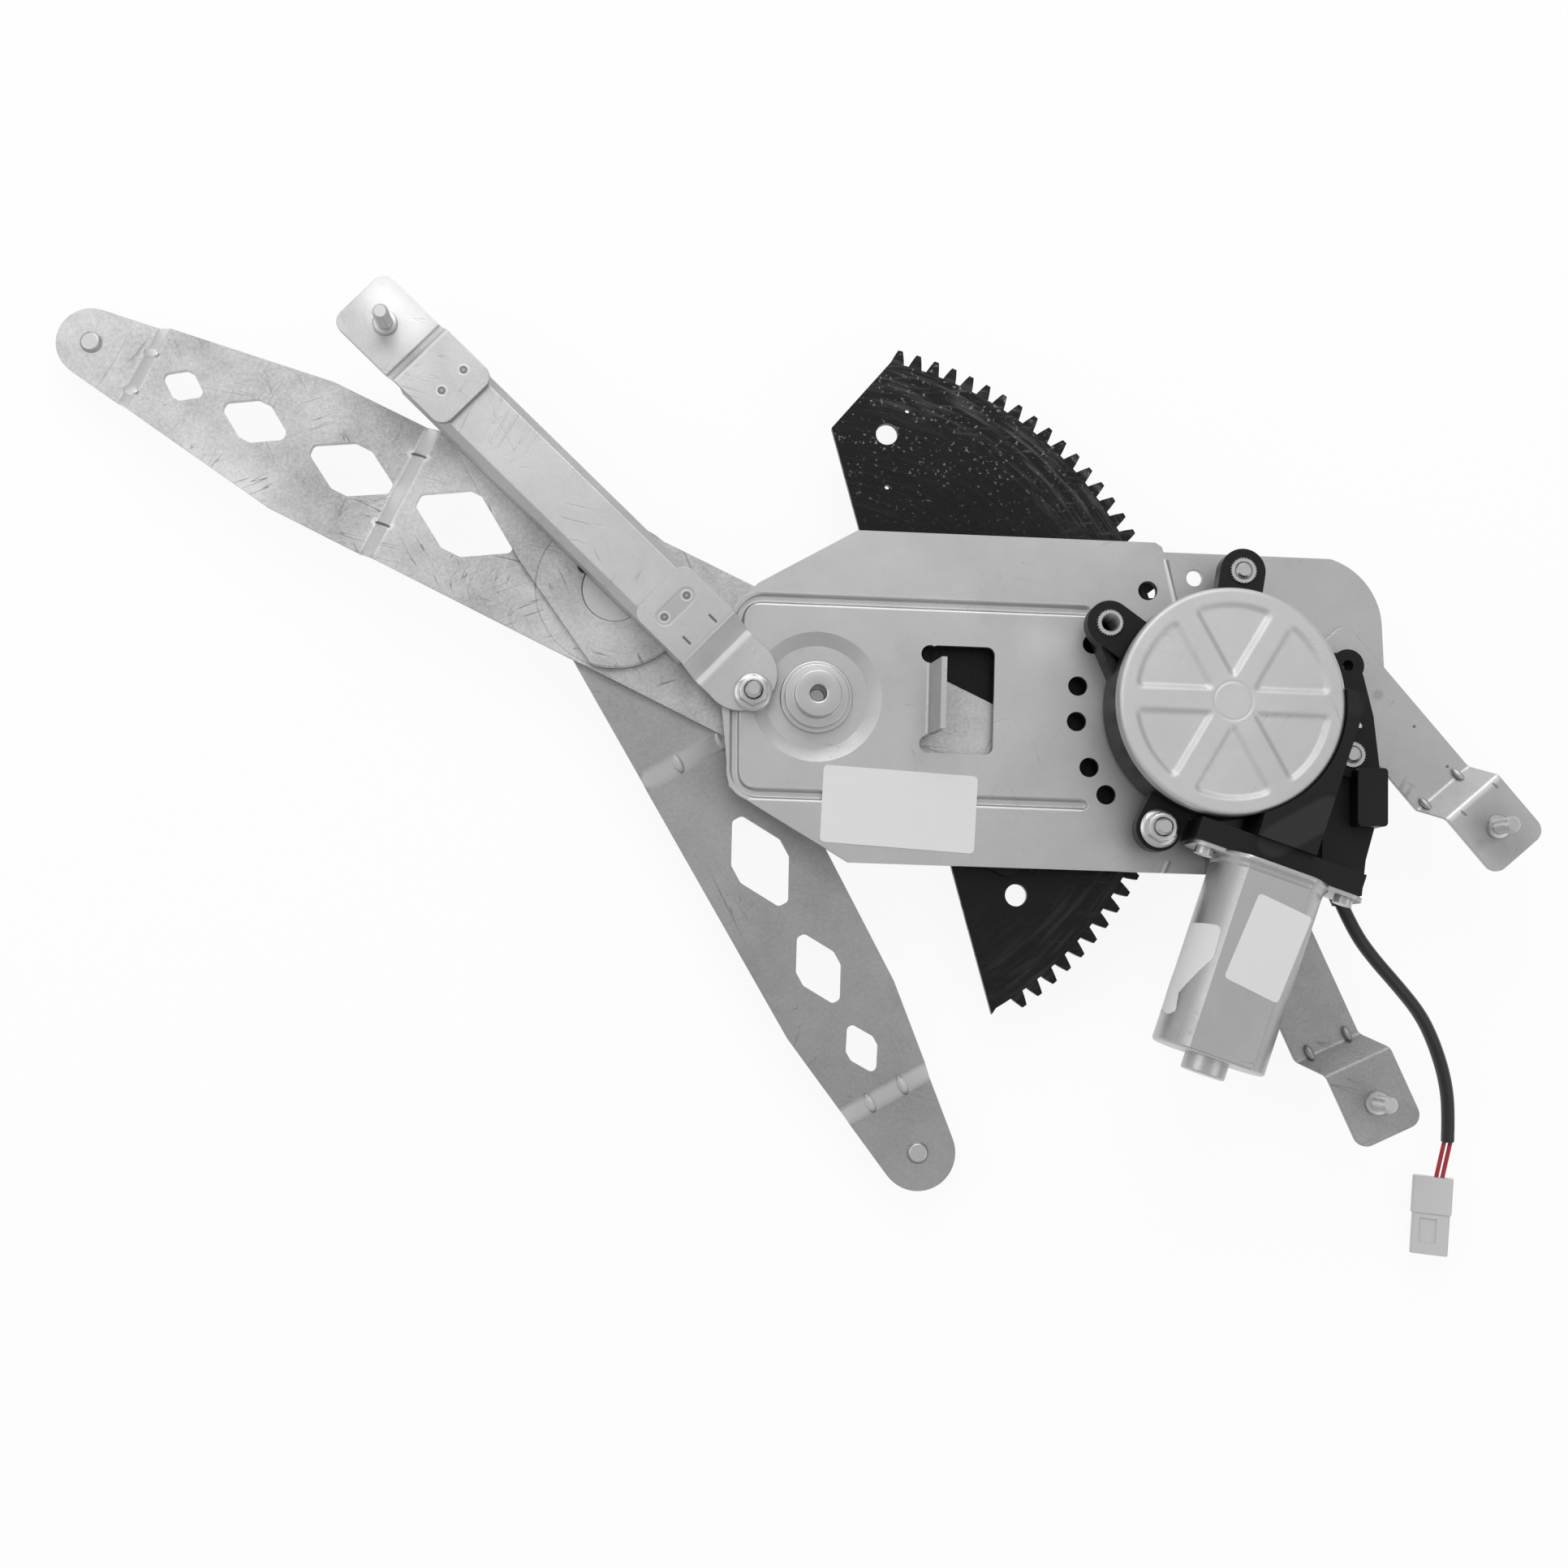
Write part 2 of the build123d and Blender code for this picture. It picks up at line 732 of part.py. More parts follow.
# Main pivot: hub pin riveted through the dish, with a washer on the dish floor
dish_top = -dish_depth
dish_underside = dish_top - plate_thickness
washer_top = dish_top + pivot_washer_thickness
collar_top = washer_top + pivot_collar_height
boss_top = collar_top + pivot_boss_height
bush_outer = pivot_radius + bush_wall
with BuildPart() as pivot_pin:
    with BuildSketch(Plane.XZ):
        with BuildLine():
            Polyline(
                (0, boss_top), (pivot_boss_radius, boss_top), (pivot_boss_radius, collar_top),
                (pivot_collar_radius, collar_top), (pivot_collar_radius, washer_top),
                (pivot_radius, washer_top), (pivot_radius, dish_underside), (bush_outer, dish_underside),
                (bush_outer, lift_top + face_clearance), (pivot_radius, lift_top + face_clearance),
                (pivot_radius, lift_bottom - face_clearance), (pivot_head_radius, lift_bottom - face_clearance),
                (pivot_head_radius - pivot_head_taper, lift_bottom - pivot_head_thickness),
                (0, lift_bottom - pivot_head_thickness),
                close=True,
            )
        make_face()
    revolve(axis=Axis.Z)
    chamfer(pivot_pin.edges().filter_by(GeomType.CIRCLE).sort_by(Axis.Z)[-1], pivot_boss_chamfer)
    with BuildSketch(Plane.XY.offset(boss_top)):
        Circle(pivot_bore_radius)
    extrude(amount=-pivot_bore_depth, mode=Mode.SUBTRACT)
finish(pivot_pin.part, "main_pivot_pin")

with BuildPart() as pivot_washer:
    with BuildSketch(Plane.XY.offset(dish_top)):
        Circle(pivot_washer_radius)
        Circle(pivot_radius + seat_clearance, mode=Mode.SUBTRACT)
    extrude(amount=pivot_washer_thickness)
finish(pivot_washer.part, "pivot_washer")

# Lift arm: flat at the pivots, stepped down twice towards its tip
cross_in_lift = (cross_along, cross_across)
taper_start = lift_length - lift_taper_length
with BuildPart() as lift_arm:
    with BuildSketch(side(main_pivot, lift_angle)):
        with BuildLine():
            strip_section(
                [
                    (-lift_root, lift_top),
                    *joggle(lift_joggle_middle, lift_top, lift_mid_top),
                    *joggle(lift_length - tip_joggle_back, lift_mid_top, tip_top),
                    (lift_length + lift_tip_radius, tip_top),
                ],
                arm_thickness,
                bend_radius,
            )
        make_face()
    extrude(amount=2 * lift_half_width, both=True)
    with BuildSketch(plan(main_pivot, lift_angle, 0)) as lift_outline:
        with Locations((lift_length, 0)):
            Circle(lift_tip_radius)
        with BuildLine():
            Polyline(
                (-lift_root, -lift_half_width), (0, -lift_half_width), (taper_start, -lift_taper_half_width),
                (taper_start, lift_taper_half_width), (0, lift_half_width), (-lift_root, lift_half_width),
                close=True,
            )
        make_face()
        make_hull()
        fillet(lift_outline.vertices().sort_by(Axis.X)[:2], pad_corner)
    extrude(amount=-3 * tip_top, both=True, mode=Mode.INTERSECT)
    with BuildSketch(plan(main_pivot, lift_angle, 0)) as lift_cuts:
        for back, length, width in lift_windows:
            with Locations((lift_length - back, 0)):
                Polygon(*diamond(length, width))
        fillet(lift_cuts.vertices(), window_fillet)
    extrude(amount=2 * tip_top, mode=Mode.SUBTRACT)
    with BuildSketch(plan(main_pivot, lift_angle, 0)):
        Circle(bush_outer + seat_clearance)
        with Locations(cross_in_lift):
            Circle(cross_radius + running_clearance)
        with Locations((lift_length, 0)):
            Circle(tip_pin_radius + seat_clearance)
    extrude(amount=2 * tip_top, mode=Mode.SUBTRACT)
finish(lift_arm.part, "lift_arm")

with BuildPart() as lift_bush:
    with BuildSketch(Plane.XY.offset(lift_bottom)):
        Circle(bush_outer)
        Circle(pivot_radius + running_clearance, mode=Mode.SUBTRACT)
    extrude(amount=arm_thickness)
finish(lift_bush.part, "lift_bush")


def involute(angle):
    """Involute function of an angle in radians."""
    return tan(angle) - angle


def tooth_half_angle(teeth, shift, radius):
    """Half the angle that a tooth spans at a radius, in radians."""
    pitch = gear_module * teeth / 2
    base = pitch * cos(radians(pressure_angle))
    at_pitch = (pi / 2 + 2 * shift * tan(radians(pressure_angle))) / teeth - tooth_backlash / (4 * pitch)
    if radius <= base:
        return at_pitch + involute(radians(pressure_angle))
    return at_pitch + involute(radians(pressure_angle)) - involute(acos(base / radius))


def polar(radius, angle):
    """Point at a radius and an angle in radians."""
    return (radius * cos(angle), radius * sin(angle))


def draw_teeth(teeth, shift, centres, closed):
    """Flanks, tips and roots of external teeth, centred at angles in degrees that fall."""
    pitch = gear_module * teeth / 2
    base = pitch * cos(radians(pressure_angle))
    tip = pitch + gear_module * (1 + shift)
    root = pitch - gear_module * (tooth_root_depth - shift)
    low = max(root, base)
    middle = (low + tip) / 2
    ends = []
    for centre in centres:
        theta = radians(centre)
        spans = [tooth_half_angle(teeth, shift, r) for r in (low, middle, tip)]
        rising = [polar(r, theta + span) for r, span in zip((low, middle, tip), spans)]
        falling = [polar(r, theta - span) for r, span in zip((low, middle, tip), spans)]
        first, last = rising[0], falling[0]
        if root < low:
            first, last = polar(root, theta + spans[0]), polar(root, theta - spans[0])
            Line(first, rising[0])
            Line(falling[0], last)
        ThreePointArc(*rising)
        Line(rising[-1], falling[-1])
        ThreePointArc(*reversed(falling))
        ends.append((first, last))
    for (_, here), (there, _) in zip(ends, ends[1:]):
        Line(here, there)
    if closed:
        Line(ends[-1][1], ends[0][0])
    return ends[0][0], ends[-1][1]


# Sector: toothed plate welded under the lift arm's root
tooth_pitch = 360 / sector_full_teeth
with BuildPart() as sector:
    with BuildSketch(Plane.XY.offset(sector_bottom)) as sector_outline:
        with BuildLine():
            centres = [sector_first_tooth - tooth_pitch * index for index in range(sector_teeth_cut)]
            start, end = draw_teeth(sector_full_teeth, -profile_shift, centres, closed=False)
            root = gear_module * (sector_full_teeth / 2 - tooth_root_depth - profile_shift)
            heel = polar(root, radians(sector_heel_angle))
            ThreePointArc(end, polar(root, (atan2(end[1], end[0]) + radians(sector_heel_angle)) / 2), heel)
            Polyline(heel, sector_bottom_corner, sector_top_corner, start)
        make_face()
        with Locations(*sector_hole_places):
            Circle(sector_hole_radius, mode=Mode.SUBTRACT)
        with Locations(*sector_pin_places):
            Circle(sector_pin_radius, mode=Mode.SUBTRACT)
    extrude(amount=sector_thickness)
finish(sector.part, "sector_gear")


def spool(place_xy, outline):
    """Turned piece on an upright axis, from its half outline of radii and heights."""
    with BuildPart() as turned:
        with BuildSketch(Plane((*place_xy, 0), x_dir=(1, 0, 0), z_dir=(0, -1, 0))):
            with BuildLine():
                Polyline(*outline, close=True)
            make_face()
        revolve(axis=Axis((*place_xy, 0), (0, 0, 1)))
    return turned.part


def ring(place_xy, inner, outer, bottom, top):
    """Plain ring on an upright axis."""
    return spool(place_xy, [(inner, bottom), (outer, bottom), (outer, top), (inner, top)])


# Tip pins: riveted head on the arm, flange behind it, journal and end collar of the roller
roller_top = tip_bottom - pin_flange_thickness
roller_bottom = roller_top - roller_thickness


def tip_pin(place_xy):
    """Riveted pin that carries a roller under an arm's tip."""
    journal_end = roller_bottom - face_clearance
    return spool(
        place_xy,
        [
            (0, tip_top + rivet_head_height),
            (rivet_head_radius - rivet_head_taper, tip_top + rivet_head_height),
            (rivet_head_radius, tip_top), (tip_pin_radius, tip_top), (tip_pin_radius, tip_bottom),
            (pin_flange_radius, tip_bottom), (pin_flange_radius, roller_top + face_clearance),
            (tip_pin_radius, roller_top + face_clearance), (tip_pin_radius, journal_end),
            (pin_flange_radius, journal_end), (pin_flange_radius, journal_end - pin_flange_thickness),
            (0, journal_end - pin_flange_thickness),
        ],
    )


def roller(place_xy, radius, bottom, top):
    """Crowned guide roller with a bore for its pin."""
    bore = tip_pin_radius + running_clearance
    return spool(
        place_xy,
        [
            (bore, bottom), (radius - roller_crown, bottom), (radius, bottom + roller_crown),
            (radius, top - roller_crown), (radius - roller_crown, top), (bore, top),
        ],
    )


finish(tip_pin(lift_tip), "lift_tip_pin")
finish(roller(lift_tip, roller_radius, roller_bottom, roller_top), "lift_roller")
finish(tip_pin(equalizer_tip), "equalizer_tip_pin")
finish(roller(equalizer_tip, roller_radius, roller_bottom, roller_top), "equalizer_roller")

# Equalizer, long half: behind the lift arm
with BuildPart() as equalizer_arm:
    with BuildSketch(side(cross_pivot_place, equalizer_angle)):
        with BuildLine():
            strip_section(
                [
                    (-equalizer_root_radius, equalizer_top),
                    *joggle(equalizer_joggle_middle, equalizer_top, equalizer_mid_top),
                    *joggle(equalizer_length - equalizer_tip_joggle_back, equalizer_mid_top, tip_top),
                    (equalizer_length + equalizer_tip_radius, tip_top),
                ],
                arm_thickness,
                bend_radius,
            )
        make_face()
    extrude(amount=2 * equalizer_root_radius, both=True)
    with BuildSketch(plan(cross_pivot_place, equalizer_angle, 0)) as equalizer_outline:
        Circle(equalizer_root_radius)
        with Locations((equalizer_length, 0)):
            Circle(equalizer_tip_radius)
        with Locations((equalizer_length - equalizer_taper_length, 0)):
            Rectangle(arm_thickness, 2 * equalizer_half_width)
        make_hull()
    extrude(amount=-3 * tip_top, both=True, mode=Mode.INTERSECT)
    with BuildSketch(plan(cross_pivot_place, equalizer_angle, 0)) as equalizer_cuts:
        for back, length, width in equalizer_windows:
            with Locations((equalizer_length - back, 0)):
                Polygon(*diamond(length, width))
        fillet(equalizer_cuts.vertices(), window_fillet)
    extrude(amount=2 * tip_top, mode=Mode.SUBTRACT)
    with BuildSketch(plan(cross_pivot_place, equalizer_angle, 0)):
        with Locations((equalizer_length, 0)):
            Circle(tip_pin_radius + seat_clearance)
    extrude(amount=2 * tip_top, mode=Mode.SUBTRACT)
finish(equalizer_arm.part, "equalizer_arm")

# Equalizer, short half: link in front of the lift arm, bent from the long half's line
with BuildPart() as equalizer_link:
    with BuildSketch(plan(cross_pivot_place, link_angle, link_bottom)) as link_outline:
        with BuildLine():
            shoulder = [link_root_corner, link_waist, link_neck]
            Polyline(*shoulder)
            Polyline(*[(x, -y) for x, y in shoulder])
            ThreePointArc(link_root_corner, (-link_root_radius, 0), (link_root_corner[0], -link_root_corner[1]))
            neck = direction(link_neck_angle) * link_end_radius
            corner = (link_length + neck.X, neck.Y)
            Line(link_neck, corner)
            Line((link_neck[0], -link_neck[1]), (corner[0], -corner[1]))
            ThreePointArc(corner, (link_length + link_end_radius, 0), (corner[0], -corner[1]))
        make_face()
        Circle(cross_disc_radius + seat_clearance, mode=Mode.SUBTRACT)
        with Locations((link_length, 0)):
            Circle(tip_pin_radius + seat_clearance, mode=Mode.SUBTRACT)
    extrude(amount=upper_link_thickness)
finish(equalizer_link.part, "equalizer_link")

cross_top = link_top - cross_disc_recess
finish(
    spool(
        cross_pivot_place,
        [
            (0, equalizer_top), (cross_radius, equalizer_top), (cross_radius, link_bottom),
            (cross_disc_radius, link_bottom), (cross_disc_radius, cross_top), (0, cross_top),
        ],
    ),
    "cross_pivot",
)

# Channel roller on its pin at the link's end
channel_roller_top = channel_floor - 2 * face_clearance - pin_flange_thickness
channel_roller_bottom = channel_roller_top - channel_roller_thickness
finish(
    spool(
        link_tip,
        [
            (0, link_bottom), (tip_pin_radius, link_bottom), (tip_pin_radius, link_top),
            (tip_pin_radius + channel_pin_collar, link_top),
            (tip_pin_radius + channel_pin_collar, channel_roller_bottom - face_clearance),
            (tip_pin_radius, channel_roller_bottom - face_clearance),
            (tip_pin_radius, channel_roller_top + face_clearance),
            (channel_pin_flange_radius, channel_roller_top + face_clearance),
            (channel_pin_flange_radius, channel_floor - face_clearance), (0, channel_floor - face_clearance),
        ],
    ),
    "channel_roller_pin",
)
finish(roller(link_tip, channel_roller_radius, channel_roller_bottom, channel_roller_top), "channel_roller")


# Gear housing: plastic cup with ears, worm block, carrier for the can and lead lug
can_direction = direction(can_angle)
worm_axis = Plane(origin=(*worm_foot, worm_axis_height), x_dir=direction(can_angle + 90), z_dir=can_direction)
gland_start = Vector(*lead_points[0])
gland_run = (Vector(*lead_points[1]) - gland_start).normalized()
gland_plane = Plane(origin=gland_start, z_dir=gland_run)
up_side = 1 if worm_axis.y_dir.Z > 0 else -1
flange_screw_places = [
    (flange_shift + flange_screw_place, up_side * flange_screw_rise),
    (flange_shift - flange_screw_place, up_side * flange_screw_rise),
]


def along_can(distance):
    """Plane square to the worm's axis at a distance along it."""
    return worm_axis.offset(distance)


with BuildPart() as housing:
    with BuildSketch(plan(worm_foot, can_angle, worm_block_bottom)):
        with Locations(((flange_distance - carrier_thickness - worm_block_end) / 2, 0)):
            Rectangle(flange_distance - carrier_thickness + worm_block_end, 2 * worm_block_half_width)
    extrude(amount=worm_block_top - worm_block_bottom)
    with BuildSketch(Plane.XY.offset(housing_shoulder)):
        with Locations(motor_centre):
            Circle(cover_radius + face_clearance)
    extrude(amount=worm_block_top, mode=Mode.SUBTRACT)
    with BuildSketch(Plane.XY.offset(housing_bottom)):
        with Locations(motor_centre):
            Circle(cover_radius)
    extrude(amount=housing_shoulder - housing_bottom)
    with BuildSketch(Plane.XY.offset(housing_shoulder)):
        with Locations(motor_centre):
            Circle(housing_radius)
    extrude(amount=housing_top - housing_shoulder)
    with BuildSketch(plan(worm_foot, can_angle, carrier_bottom)):
        with Locations((flange_distance - carrier_thickness / 2, 0)):
            Rectangle(carrier_thickness, 2 * carrier_half_length)
    extrude(amount=carrier_top - carrier_bottom)
    for angle in motor_ears:
        with BuildSketch(Plane.XY.offset(ear_bottom)):
            with Locations(motor_centre, place(motor_centre, angle, motor_hole_circle, 0)):
                Circle(ear_radius)
            make_hull()
        extrude(amount=ear_top - ear_bottom)
    with BuildSketch(Plane.XY.offset(web_bottom)):
        with BuildLine():
            Polyline(*web_outline, close=True)
        make_face()
        with Locations(small_ear_place):
            Circle(small_ear_radius)
    extrude(amount=web_top - web_bottom)
    with BuildSketch(Plane.XY.offset(web_bottom)):
        with Locations(tuple((low + high) / 2 for low, high in zip(*box_corners))):
            RectangleRounded(*(high - low for low, high in zip(*box_corners)), plug_corner)
    extrude(amount=box_top - web_bottom)
    with BuildSketch(plan(worm_foot, can_angle, lug_bottom)):
        with Locations((sum(lug_along) / 2, sum(lug_across) / 2)):
            Rectangle(lug_along[1] - lug_along[0], lug_across[1] - lug_across[0])
    extrude(amount=lug_top - lug_bottom)
    with BuildSketch(Plane.XY.offset(snout_bottom)):
        with Locations(motor_centre):
            Circle(snout_radius)
    extrude(amount=housing_bottom - snout_bottom)
    with BuildSketch(Plane.XY.offset(housing_bottom + housing_floor)):
        with Locations(motor_centre):
            Circle(housing_radius - housing_wall)
    extrude(amount=housing_top, mode=Mode.SUBTRACT)
    with BuildSketch(Plane.XY.offset(snout_bottom)):
        with Locations(motor_centre):
            Circle(shaft_radius + output_bush_wall + seat_clearance)
    extrude(amount=housing_top, mode=Mode.SUBTRACT)
    with BuildSketch(along_can(worm_bore_start)):
        Circle(worm_bore_radius)
    extrude(amount=flange_distance - worm_bore_start, mode=Mode.SUBTRACT)
    with BuildSketch(along_can(flange_distance)):
        with Locations(*flange_screw_places):
            Circle(flange_screw_radius + seat_clearance)
    extrude(amount=-carrier_thickness, mode=Mode.SUBTRACT)
    with BuildSketch(Plane.XY):
        for angle in motor_ears:
            with Locations(place(motor_centre, angle, motor_hole_circle, 0)):
                Circle(ear_bore_radius + seat_clearance)
        with Locations(small_ear_place):
            Circle(small_ear_hole)
    extrude(amount=worm_block_top, mode=Mode.SUBTRACT)
    with BuildSketch(gland_plane):
        Circle(gland_radius + seat_clearance)
    extrude(amount=-gland_length, mode=Mode.SUBTRACT)
finish(housing.part, "gear_housing")

# Gear cover: pressed steel lid with six sunk panels between its spokes
panel_inner = cover_hub_radius
panel_outer = cover_radius - cover_rim_width
lid_underside = cover_top - cover_wall
with BuildPart() as cover:
    with BuildSketch(Plane.XY.offset(housing_shoulder)):
        with Locations(motor_centre):
            Circle(cover_radius)
            Circle(housing_radius + cover_clearance, mode=Mode.SUBTRACT)
    extrude(amount=lid_underside - housing_shoulder)
    with BuildSketch(Plane.XY.offset(lid_underside)):
        with Locations(motor_centre):
            Circle(cover_radius)
    extrude(amount=cover_wall)
    chamfer(cover.edges().filter_by(GeomType.CIRCLE).group_by(Axis.Z)[-1], cover_wall / 2)
    for height, depth, margin, mode in (
        (cover_top, -cover_recess, 0, Mode.SUBTRACT),
        (lid_underside, -cover_recess, cover_wall, Mode.ADD),
    ):
        with BuildSketch(Plane.XY.offset(height)):
            with Locations(motor_centre):
                Circle(panel_outer + margin)
                Circle(panel_inner - margin, mode=Mode.SUBTRACT)
            for index in range(cover_panels // 2):
                with Locations(Location((*motor_centre, 0), (0, 0, index * 360 / cover_panels))):
                    Rectangle(2 * cover_radius, cover_spoke_width - 2 * margin, mode=Mode.SUBTRACT)
        extrude(amount=depth, mode=mode)
finish(cover.part, "gear_cover")

# Fixings of the motor: threaded sleeves in its ears, two screws from below, one stud with a nut
ear_places = [place(motor_centre, angle, motor_hole_circle, 0) for angle in motor_ears]
ear_feet = (0, plate_underside, 0, plate_underside)
sleeve_top = ear_top + sleeve_rise
sleeve_bore = stud_radius + seat_clearance
sleeves = [
    ring(spot, sleeve_bore, ear_bore_radius, foot, sleeve_top).solid()
    for spot, foot in zip(ear_places, ear_feet)
]
finish(Compound(sleeves), "ear_sleeves")


def motor_screw(spot):
    """Screw with a pan head under the motor side plate."""
    head_bottom = motor_plate_underside - motor_screw_head_thickness
    return spool(
        spot,
        [
            (0, head_bottom), (motor_screw_head_radius, head_bottom),
            (motor_screw_head_radius, motor_plate_underside),
            (stud_radius, motor_plate_underside), (stud_radius, motor_screw_top), (0, motor_screw_top),
        ],
    )


finish(Compound([motor_screw(ear_places[1]).solid(), motor_screw(ear_places[3]).solid()]), "motor_screws")
finish(
    spool(
        ear_places[2],
        [
            (0, motor_plate_underside - stud_head_thickness),
            (stud_collar_radius, motor_plate_underside - stud_head_thickness),
            (stud_collar_radius, motor_plate_underside), (stud_radius, motor_plate_underside),
            (stud_radius, motor_stud_top), (0, motor_stud_top),
        ],
    ),
    "motor_stud",
)
finish(flange_nut(ear_places[2], sleeve_top), "motor_nut")

# Output: worm wheel on its shaft, with the pinion that drives the sector
wheel_top = wheel_bottom + wheel_thickness
with BuildPart() as worm_wheel:
    with BuildSketch(Plane.XY.offset(wheel_bottom)):
        with Locations(motor_centre):
            Circle(wheel_radius)
    extrude(amount=wheel_thickness)
    with BuildSketch(Plane.XY.offset(wheel_top)):
        with Locations(motor_centre):
            Circle(wheel_radius - 3 * wheel_tooth_depth)
            Circle(wheel_hub_radius, mode=Mode.SUBTRACT)
    extrude(amount=-(wheel_thickness - wheel_web_thickness), mode=Mode.SUBTRACT)
    with BuildSketch(Plane.XY.offset(wheel_bottom)):
        with Locations(motor_centre):
            Circle(shaft_radius + seat_clearance)
            with PolarLocations(wheel_radius, wheel_teeth):
                Rectangle(2 * wheel_tooth_depth, pi * wheel_radius / wheel_teeth)
    extrude(amount=wheel_thickness, mode=Mode.SUBTRACT)
finish(worm_wheel.part, "worm_wheel")

output_bottom = output_shaft_bottom
finish(
    spool(
        motor_centre,
        [
            (0, output_bottom), (shaft_radius, output_bottom),
            (shaft_radius, output_shaft_top), (0, output_shaft_top),
        ],
    ),
    "output_shaft",
)
output_bush_outer = shaft_radius + output_bush_wall
bush_top = housing_bottom + housing_floor
finish(
    ring(motor_centre, shaft_radius + running_clearance, output_bush_outer, snout_bottom, bush_top), "output_bush"
)

pinion_bottom = sector_bottom + sector_thickness / 2 - pinion_thickness / 2
with BuildPart() as pinion:
    with BuildSketch(Plane.XY.offset(pinion_bottom)):
        with Locations(motor_centre):
            with BuildLine(mode=Mode.PRIVATE) as tooth_line:
                step = 360 / pinion_teeth
                centres = [pinion_gap_angle - step * (index + 0.5) for index in range(pinion_teeth)]
                draw_teeth(pinion_teeth, profile_shift, centres, True)
            add(make_face(tooth_line.edges(), mode=Mode.PRIVATE))
            Circle(shaft_radius + seat_clearance, mode=Mode.SUBTRACT)
    extrude(amount=pinion_thickness)
finish(pinion.part, "pinion")


def can_section(radius, half_thickness):
    """Round section of the can with two flats, in the open sketch."""
    Circle(radius)
    with Locations((0, half_thickness + radius), (0, -half_thickness - radius)):
        Rectangle(2 * radius, 2 * radius, mode=Mode.SUBTRACT)


# Motor can: drawn steel shell with flats, a flange for two screws and an end boss for the bearing
can_end = flange_distance + flange_thickness + can_length
boss_bore = can_boss_radius - can_wall
with BuildPart() as can:
    with BuildSketch(along_can(flange_distance)):
        with Locations((flange_shift, 0)):
            RectangleRounded(2 * flange_half_length, 2 * flange_half_height, flange_corner)
        with Locations(*flange_screw_places):
            Circle(flange_screw_radius + seat_clearance, mode=Mode.SUBTRACT)
    extrude(amount=flange_thickness)
    with BuildSketch(along_can(flange_distance)):
        can_section(can_radius, can_half_thickness)
    extrude(amount=can_end - flange_distance)
    fillet(can.faces().sort_by(Axis((0, 0, 0), can_direction))[-1].edges(), can_end_fillet)
    with BuildSketch(along_can(can_end)):
        Circle(can_boss_radius)
    extrude(amount=can_boss_length)
    fillet(can.faces().sort_by(Axis((0, 0, 0), can_direction))[-1].edges(), can_boss_fillet)
    with BuildSketch(along_can(flange_distance)):
        can_section(can_radius - can_wall, can_half_thickness - can_wall)
    extrude(amount=can_end - can_wall - flange_distance, mode=Mode.SUBTRACT)
    with BuildSketch(along_can(can_end - can_wall)):
        Circle(boss_bore)
    extrude(amount=can_boss_length, mode=Mode.SUBTRACT)
finish(can.part, "motor_can")


def along_ring(inner, outer, start, length):
    """Round piece on the worm's axis; an inner radius of zero leaves it solid."""
    with BuildPart() as piece:
        with BuildSketch(along_can(start)):
            Circle(outer)
            if inner:
                Circle(inner, mode=Mode.SUBTRACT)
        extrude(amount=length)
    return piece.part


shaft_bore = armature_shaft_radius + running_clearance
bearing_start = can_end + can_boss_length - can_wall - can_bearing_length
finish(along_ring(shaft_bore, boss_bore, bearing_start, can_bearing_length), "can_bearing")
finish(
    along_ring(shaft_bore, worm_bore_radius - seat_clearance, worm_bore_start, worm_bush_length), "worm_bush"
)

flange_screws = []
for spot in flange_screw_places:
    with BuildPart() as flange_screw:
        with BuildSketch(along_can(flange_distance + flange_thickness)):
            with Locations(spot):
                Circle(flange_screw_head_radius)
        extrude(amount=flange_screw_head_thickness)
        with BuildSketch(along_can(flange_distance + flange_thickness)):
            with Locations(spot):
                Circle(flange_screw_radius)
        extrude(amount=-flange_screw_length)
    flange_screws.append(flange_screw.part.solid())
finish(Compound(flange_screws), "flange_screws")

magnets = []
for index in range(magnet_count):
    middle = index * 360 / magnet_count
    with BuildPart() as magnet:
        with BuildSketch(along_can(magnet_along[0])):
            with BuildLine():
                inner, outer = magnet_inner_radius, can_radius - can_wall
                turns = [radians(middle + magnet_half_angle * step) for step in (-1, 0, 1)]
                near = [polar(inner, turn) for turn in turns]
                far = [polar(outer, turn) for turn in turns]
                ThreePointArc(*near)
                ThreePointArc(*far)
                Line(near[0], far[0])
                Line(near[2], far[2])
            make_face()
        extrude(amount=magnet_along[1] - magnet_along[0])
    magnets.append(magnet.part.solid())
finish(Compound(magnets), "field_magnets")

# Armature: shaft with its worm, laminated core with winding slots, commutator
with BuildPart() as shaft:
    with BuildSketch(along_can(shaft_along[0])):
        Circle(armature_shaft_radius)
    extrude(amount=shaft_along[1] - shaft_along[0])
    with BuildSketch(along_can(-worm_half_length)):
        Circle(worm_core_radius)
    extrude(amount=2 * worm_half_length)
    turns = int(2 * worm_half_length / worm_pitch)
    for turn in range(turns):
        with BuildSketch(along_can(-worm_half_length + (turn + 0.25) * worm_pitch)):
            Circle(worm_radius)
        extrude(amount=worm_pitch / 2)
finish(shaft.part, "armature_shaft")

core_bore = armature_shaft_radius + seat_clearance
with BuildPart() as core:
    with BuildSketch(along_can(magnet_along[0])):
        Circle(armature_radius)
        Circle(core_bore, mode=Mode.SUBTRACT)
        with PolarLocations(armature_radius, armature_slots):
            Rectangle(2 * armature_slot_depth, armature_slot_width, mode=Mode.SUBTRACT)
    extrude(amount=magnet_along[1] - magnet_along[0])
finish(core.part, "armature_core")
commutator_length = commutator_along[1] - commutator_along[0]
finish(along_ring(core_bore, commutator_radius, commutator_along[0], commutator_length), "commutator")

